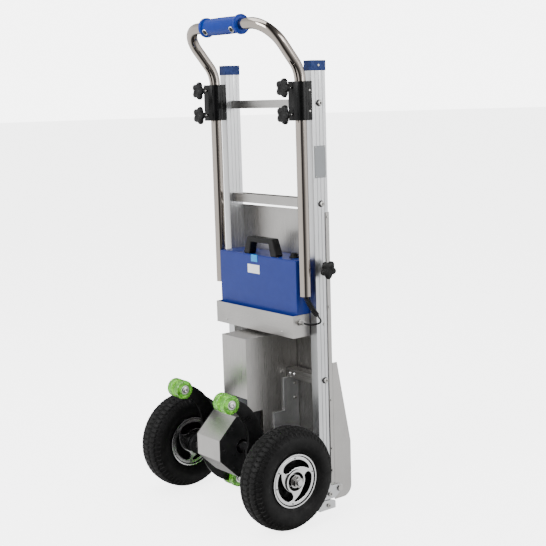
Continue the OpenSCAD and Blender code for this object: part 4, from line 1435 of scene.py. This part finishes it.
def make_handle():
    """Polished loop, its grip and its two push buttons."""
    eased_copy("handle_tube", MATERIALS["polished"], 0.0004)
    low, high, middle = span("handle_grip")
    half = (high.x - low.x) / 2
    reach = (high.z - low.z) / 2
    bore = 0.0141
    waist = 0.0200
    swell = 0.0015
    ease = 0.0015
    collar = [
        (half, bore), (half, reach - ease), (half - 0.0015, reach), (half - 0.0070, reach),
        (half - 0.0090, reach - ease), (half - 0.0100, waist),
    ]
    profile = [(-x, radius) for x, radius in collar]
    steps = 16
    for k in range(steps + 1):
        at = (half - 0.0105) * (2 * k / steps - 1)
        profile.append((at, waist + swell * cos(pi / 2 * at / half) ** 0.7))
    profile += reversed(collar)
    edit = bmesh.new()
    lathe(edit, profile, middle, X_AXIS, steps=72, closed=True)
    piece("grip_body", edit, "handle", MATERIALS["grip"], ("handle_grip",), angle=50)
    make_buttons(middle)


def make_buttons(grip_middle):
    """Domed push buttons with pale rings round them."""
    rings = bmesh.new()
    for name in ("up", "down"):
        node = name + "_button"
        _, _, middle = span(node)
        out = (middle - Vector((middle.x, grip_middle.y, grip_middle.z))).normalized()
        outer = grip_middle + X_AXIS * (middle.x - grip_middle.x) + out * BUTTON_REACH
        edit = bmesh.new()
        profile = [
            (-0.0070, 0), (-0.0070, 0.0056), (-0.0010, 0.0058),
            (-0.0002, 0.0050), (0.0, 0.0030), (-0.0004, 0),
        ]
        lathe(edit, profile, outer, out, steps=32)
        piece(name + "_cap", edit, node, MATERIALS["black_moulding"], (node,))
        washer(rings, outer - out * 0.0034, out, 0.0063, 0.0082, 0.0018)
    piece("button_rings", rings, "handle", MATERIALS["machined"])


# ---------------------------------------------------------------- drive and climber


def make_housing():
    """Sheet housing, its mount plates and the parts inside."""
    mould = settings("mouldings")
    eased_copy("drive_housing", MATERIALS["brushed_upright"], mould.sheet_edge)
    eased_copy("drive_mount_plates", MATERIALS["milled"], mould.plate_edge)
    eased_copy("drive_motor", MATERIALS["motor_paint"], 0.003)
    eased_copy("gearbox", MATERIALS["dark_plate"], mould.box_edge)
    dress("drive_pinion", MATERIALS["ground"])
    _, high, _ = span("drive_mount_plates")
    edit = bmesh.new()
    for sign in SIDES.values():
        for height in MOUNT_BOLTS:
            spot = Vector((sign * outer_face("drive_mount_plates"), high.y - 0.014, height))
            socket_head(edit, spot, X_AXIS * sign, *MOUNT_BOLT)
    piece("mount_bolts", edit, "frame", MATERIALS["zinc"])


def make_gear_case():
    """Bent cover band and dark side plates of the gear case, with their screws."""
    mould = settings("mouldings")
    eased_copy("gear_case_cover", MATERIALS["brushed_upright"], mould.sheet_edge)
    edit = bmesh.new()
    for side, sign in SIDES.items():
        node = "gear_case_plate_" + side
        eased_copy(node, MATERIALS["dark_plate"], mould.sheet_edge)
        _, _, middle = span(node)
        for angle in CASE_SCREW_ANGLES:
            turned = Y_AXIS * cos(radians(angle)) + Z_AXIS * sin(radians(angle))
            spot = Vector((sign * outer_face(node), middle.y, middle.z)) + CASE_SCREW_CIRCLE * turned
            pan_head(edit, spot, X_AXIS * sign, settings("fasteners").small_screw_radius)
    piece("gear_case_screws", edit, "frame", MATERIALS["blackened"])


def make_arms():
    """Climbing arms, the crank shaft and the roller bolts."""
    edit = bmesh.new()
    eased_copy("crank_shaft", MATERIALS["ground"], 0.0005)
    _, _, shaft = span("crank_shaft")
    for side, sign in SIDES.items():
        eased_copy("climb_arm_" + side, MATERIALS["black_plate"], 0.0012)
        end = Vector((sign * outer_face("crank_shaft"), shaft.y, shaft.z))
        socket_head(edit, end, X_AXIS * sign, *SHAFT_SCREW)
        for end_name in ("upper", "lower"):
            low, high, middle = span(f"roller_{side}_{end_name}")
            for face, out in ((high.x, 1), (low.x, -1)):
                spot = Vector((face + out * 0.0004, middle.y, middle.z))
                socket_head(edit, spot, X_AXIS * out, *ROLLER_BOLT, socket=0.48)
            wide = high.x - low.x
            rod = [(0, 0), (0, ROLLER_ROD), (wide, ROLLER_ROD), (wide, 0)]
            lathe(edit, rod, Vector((low.x, middle.y, middle.z)), X_AXIS, steps=24)
    piece("climber_bolts", edit, "crank", MATERIALS["machined"], ("roller_bolts",))


def mirrored(half):
    """A roller's section: the given points, then the same ones on its other side."""
    return half + [(ROLLER_WIDTH - x, radius) for x, radius in reversed(half)]


def make_roller(node, body):
    """Two tinted treads side by side, each round its own bearing."""
    low, high, middle = span(node)
    reach = (high.z - low.z) / 2
    half_tread = [
        (0.0006, 0.0118), (0.0002, 0.0150), (0.0002, reach - 0.0022),
        (0.0008, reach - 0.0008), (0.0024, reach),
    ]
    half_ring = [
        (0.0003, 0.0060), (0.0003, 0.0080), (0.0012, 0.0084),
        (0.0012, 0.0102), (0.0003, 0.0106), (0.0003, 0.0116),
    ]
    treads = bmesh.new()
    bearings = bmesh.new()
    for start in (low.x, high.x - ROLLER_WIDTH):
        place = Vector((start, middle.y, middle.z))
        lathe(treads, mirrored(half_tread), place, X_AXIS, steps=56, closed=True)
        lathe(bearings, mirrored(half_ring), place, X_AXIS, steps=40, closed=True)
    tinted = MATERIALS["roller_elastomer"]
    piece("roller_tread_" + body, treads, body, tinted, (node,), angle=26)
    piece("roller_bearing_" + body, bearings, body, MATERIALS["machined"])


def make_rollers():
    """Twin tinted rollers with their bearings."""
    for side in SIDES:
        for end in ("upper", "lower"):
            make_roller(f"roller_{side}_{end}", f"{side}_{end}_roller")


# ---------------------------------------------------------------- operators


class BuildStage(bpy.types.Operator):
    """Camera, floor, lights and finishes"""

    bl_idname = "trolley.stage"
    bl_label = "Stage"
    bl_options = {"REGISTER", "UNDO"}

    def execute(self, context):
        make_stage()
        return {"FINISHED"}


class BuildWheels(bpy.types.Operator):
    """Tyres, rims and axles"""

    bl_idname = "trolley.wheels"
    bl_label = "Wheels"
    bl_options = {"REGISTER", "UNDO"}

    def execute(self, context):
        for side in SIDES:
            make_tyre(side)
            make_rim(side)
        make_axles()
        return {"FINISHED"}


class BuildFrame(bpy.types.Operator):
    """Rails, bars, front panel and rating plate"""

    bl_idname = "trolley.frame"
    bl_label = "Frame"
    bl_options = {"REGISTER", "UNDO"}

    def execute(self, context):
        make_rails()
        make_crossbars()
        make_front_panel()
        make_rating_plate()
        return {"FINISHED"}


class BuildToePlate(bpy.types.Operator):
    """Feet, brackets and the folding toe plate"""

    bl_idname = "trolley.toe_plate"
    bl_label = "Toe plate"
    bl_options = {"REGISTER", "UNDO"}

    def execute(self, context):
        make_feet()
        make_toe_plate()
        return {"FINISHED"}


class BuildBattery(bpy.types.Operator):
    """Battery and its tray"""

    bl_idname = "trolley.battery"
    bl_label = "Battery"
    bl_options = {"REGISTER", "UNDO"}

    def execute(self, context):
        make_tray()
        make_battery()
        return {"FINISHED"}


class BuildCord(bpy.types.Operator):
    """Curly control cord"""

    bl_idname = "trolley.cord"
    bl_label = "Control cord"
    bl_options = {"REGISTER", "UNDO"}

    def execute(self, context):
        make_cord()
        return {"FINISHED"}


class BuildHandle(bpy.types.Operator):
    """Loop handle, clamps and star knobs"""

    bl_idname = "trolley.handle"
    bl_label = "Handle"
    bl_options = {"REGISTER", "UNDO"}

    def execute(self, context):
        make_clamps()
        make_knobs()
        make_handle()
        return {"FINISHED"}


class BuildDrive(bpy.types.Operator):
    """Drive housing and gear case"""

    bl_idname = "trolley.drive"
    bl_label = "Drive"
    bl_options = {"REGISTER", "UNDO"}

    def execute(self, context):
        make_housing()
        make_gear_case()
        return {"FINISHED"}


class BuildClimber(bpy.types.Operator):
    """Climbing arms and rollers"""

    bl_idname = "trolley.climber"
    bl_label = "Climber"
    bl_options = {"REGISTER", "UNDO"}

    def execute(self, context):
        make_arms()
        make_rollers()
        return {"FINISHED"}


class TrolleyPanel(bpy.types.Panel):
    """Lists the build steps"""

    bl_idname = "VIEW3D_PT_trolley"
    bl_label = "Stair climbing trolley"
    bl_space_type = "VIEW_3D"
    bl_region_type = "UI"
    bl_category = "Trolley"

    def draw(self, context):
        for step in STEPS:
            self.layout.operator(step.bl_idname)


GROUPS = {
    "stage": StageSettings, "finishes": FinishSettings, "wheels": WheelSettings,
    "fasteners": FastenerSettings, "mouldings": MouldingSettings, "cord": CordSettings,
}
STEPS = (
    BuildStage, BuildWheels, BuildFrame, BuildToePlate, BuildBattery, BuildCord, BuildHandle, BuildDrive,
    BuildClimber,
)


def register():
    """Adds the settings, the build steps and the panel."""
    for group in GROUPS.values():
        bpy.utils.register_class(group)
    for name, group in GROUPS.items():
        setattr(bpy.types.Scene, "trolley_" + name, PointerProperty(type=group))
    for step in STEPS:
        bpy.utils.register_class(step)
    bpy.utils.register_class(TrolleyPanel)


def unregister():
    """Takes them out again."""
    bpy.utils.unregister_class(TrolleyPanel)
    for step in reversed(STEPS):
        bpy.utils.unregister_class(step)
    for name in GROUPS:
        delattr(bpy.types.Scene, "trolley_" + name)
    for group in reversed(tuple(GROUPS.values())):
        bpy.utils.unregister_class(group)


def main():
    """Builds everything in order."""
    register()
    bpy.ops.trolley.stage()
    bpy.ops.trolley.wheels()
    bpy.ops.trolley.frame()
    bpy.ops.trolley.toe_plate()
    bpy.ops.trolley.battery()
    bpy.ops.trolley.cord()
    bpy.ops.trolley.handle()
    bpy.ops.trolley.drive()
    bpy.ops.trolley.climber()


if __name__ == "__main__":
    main()
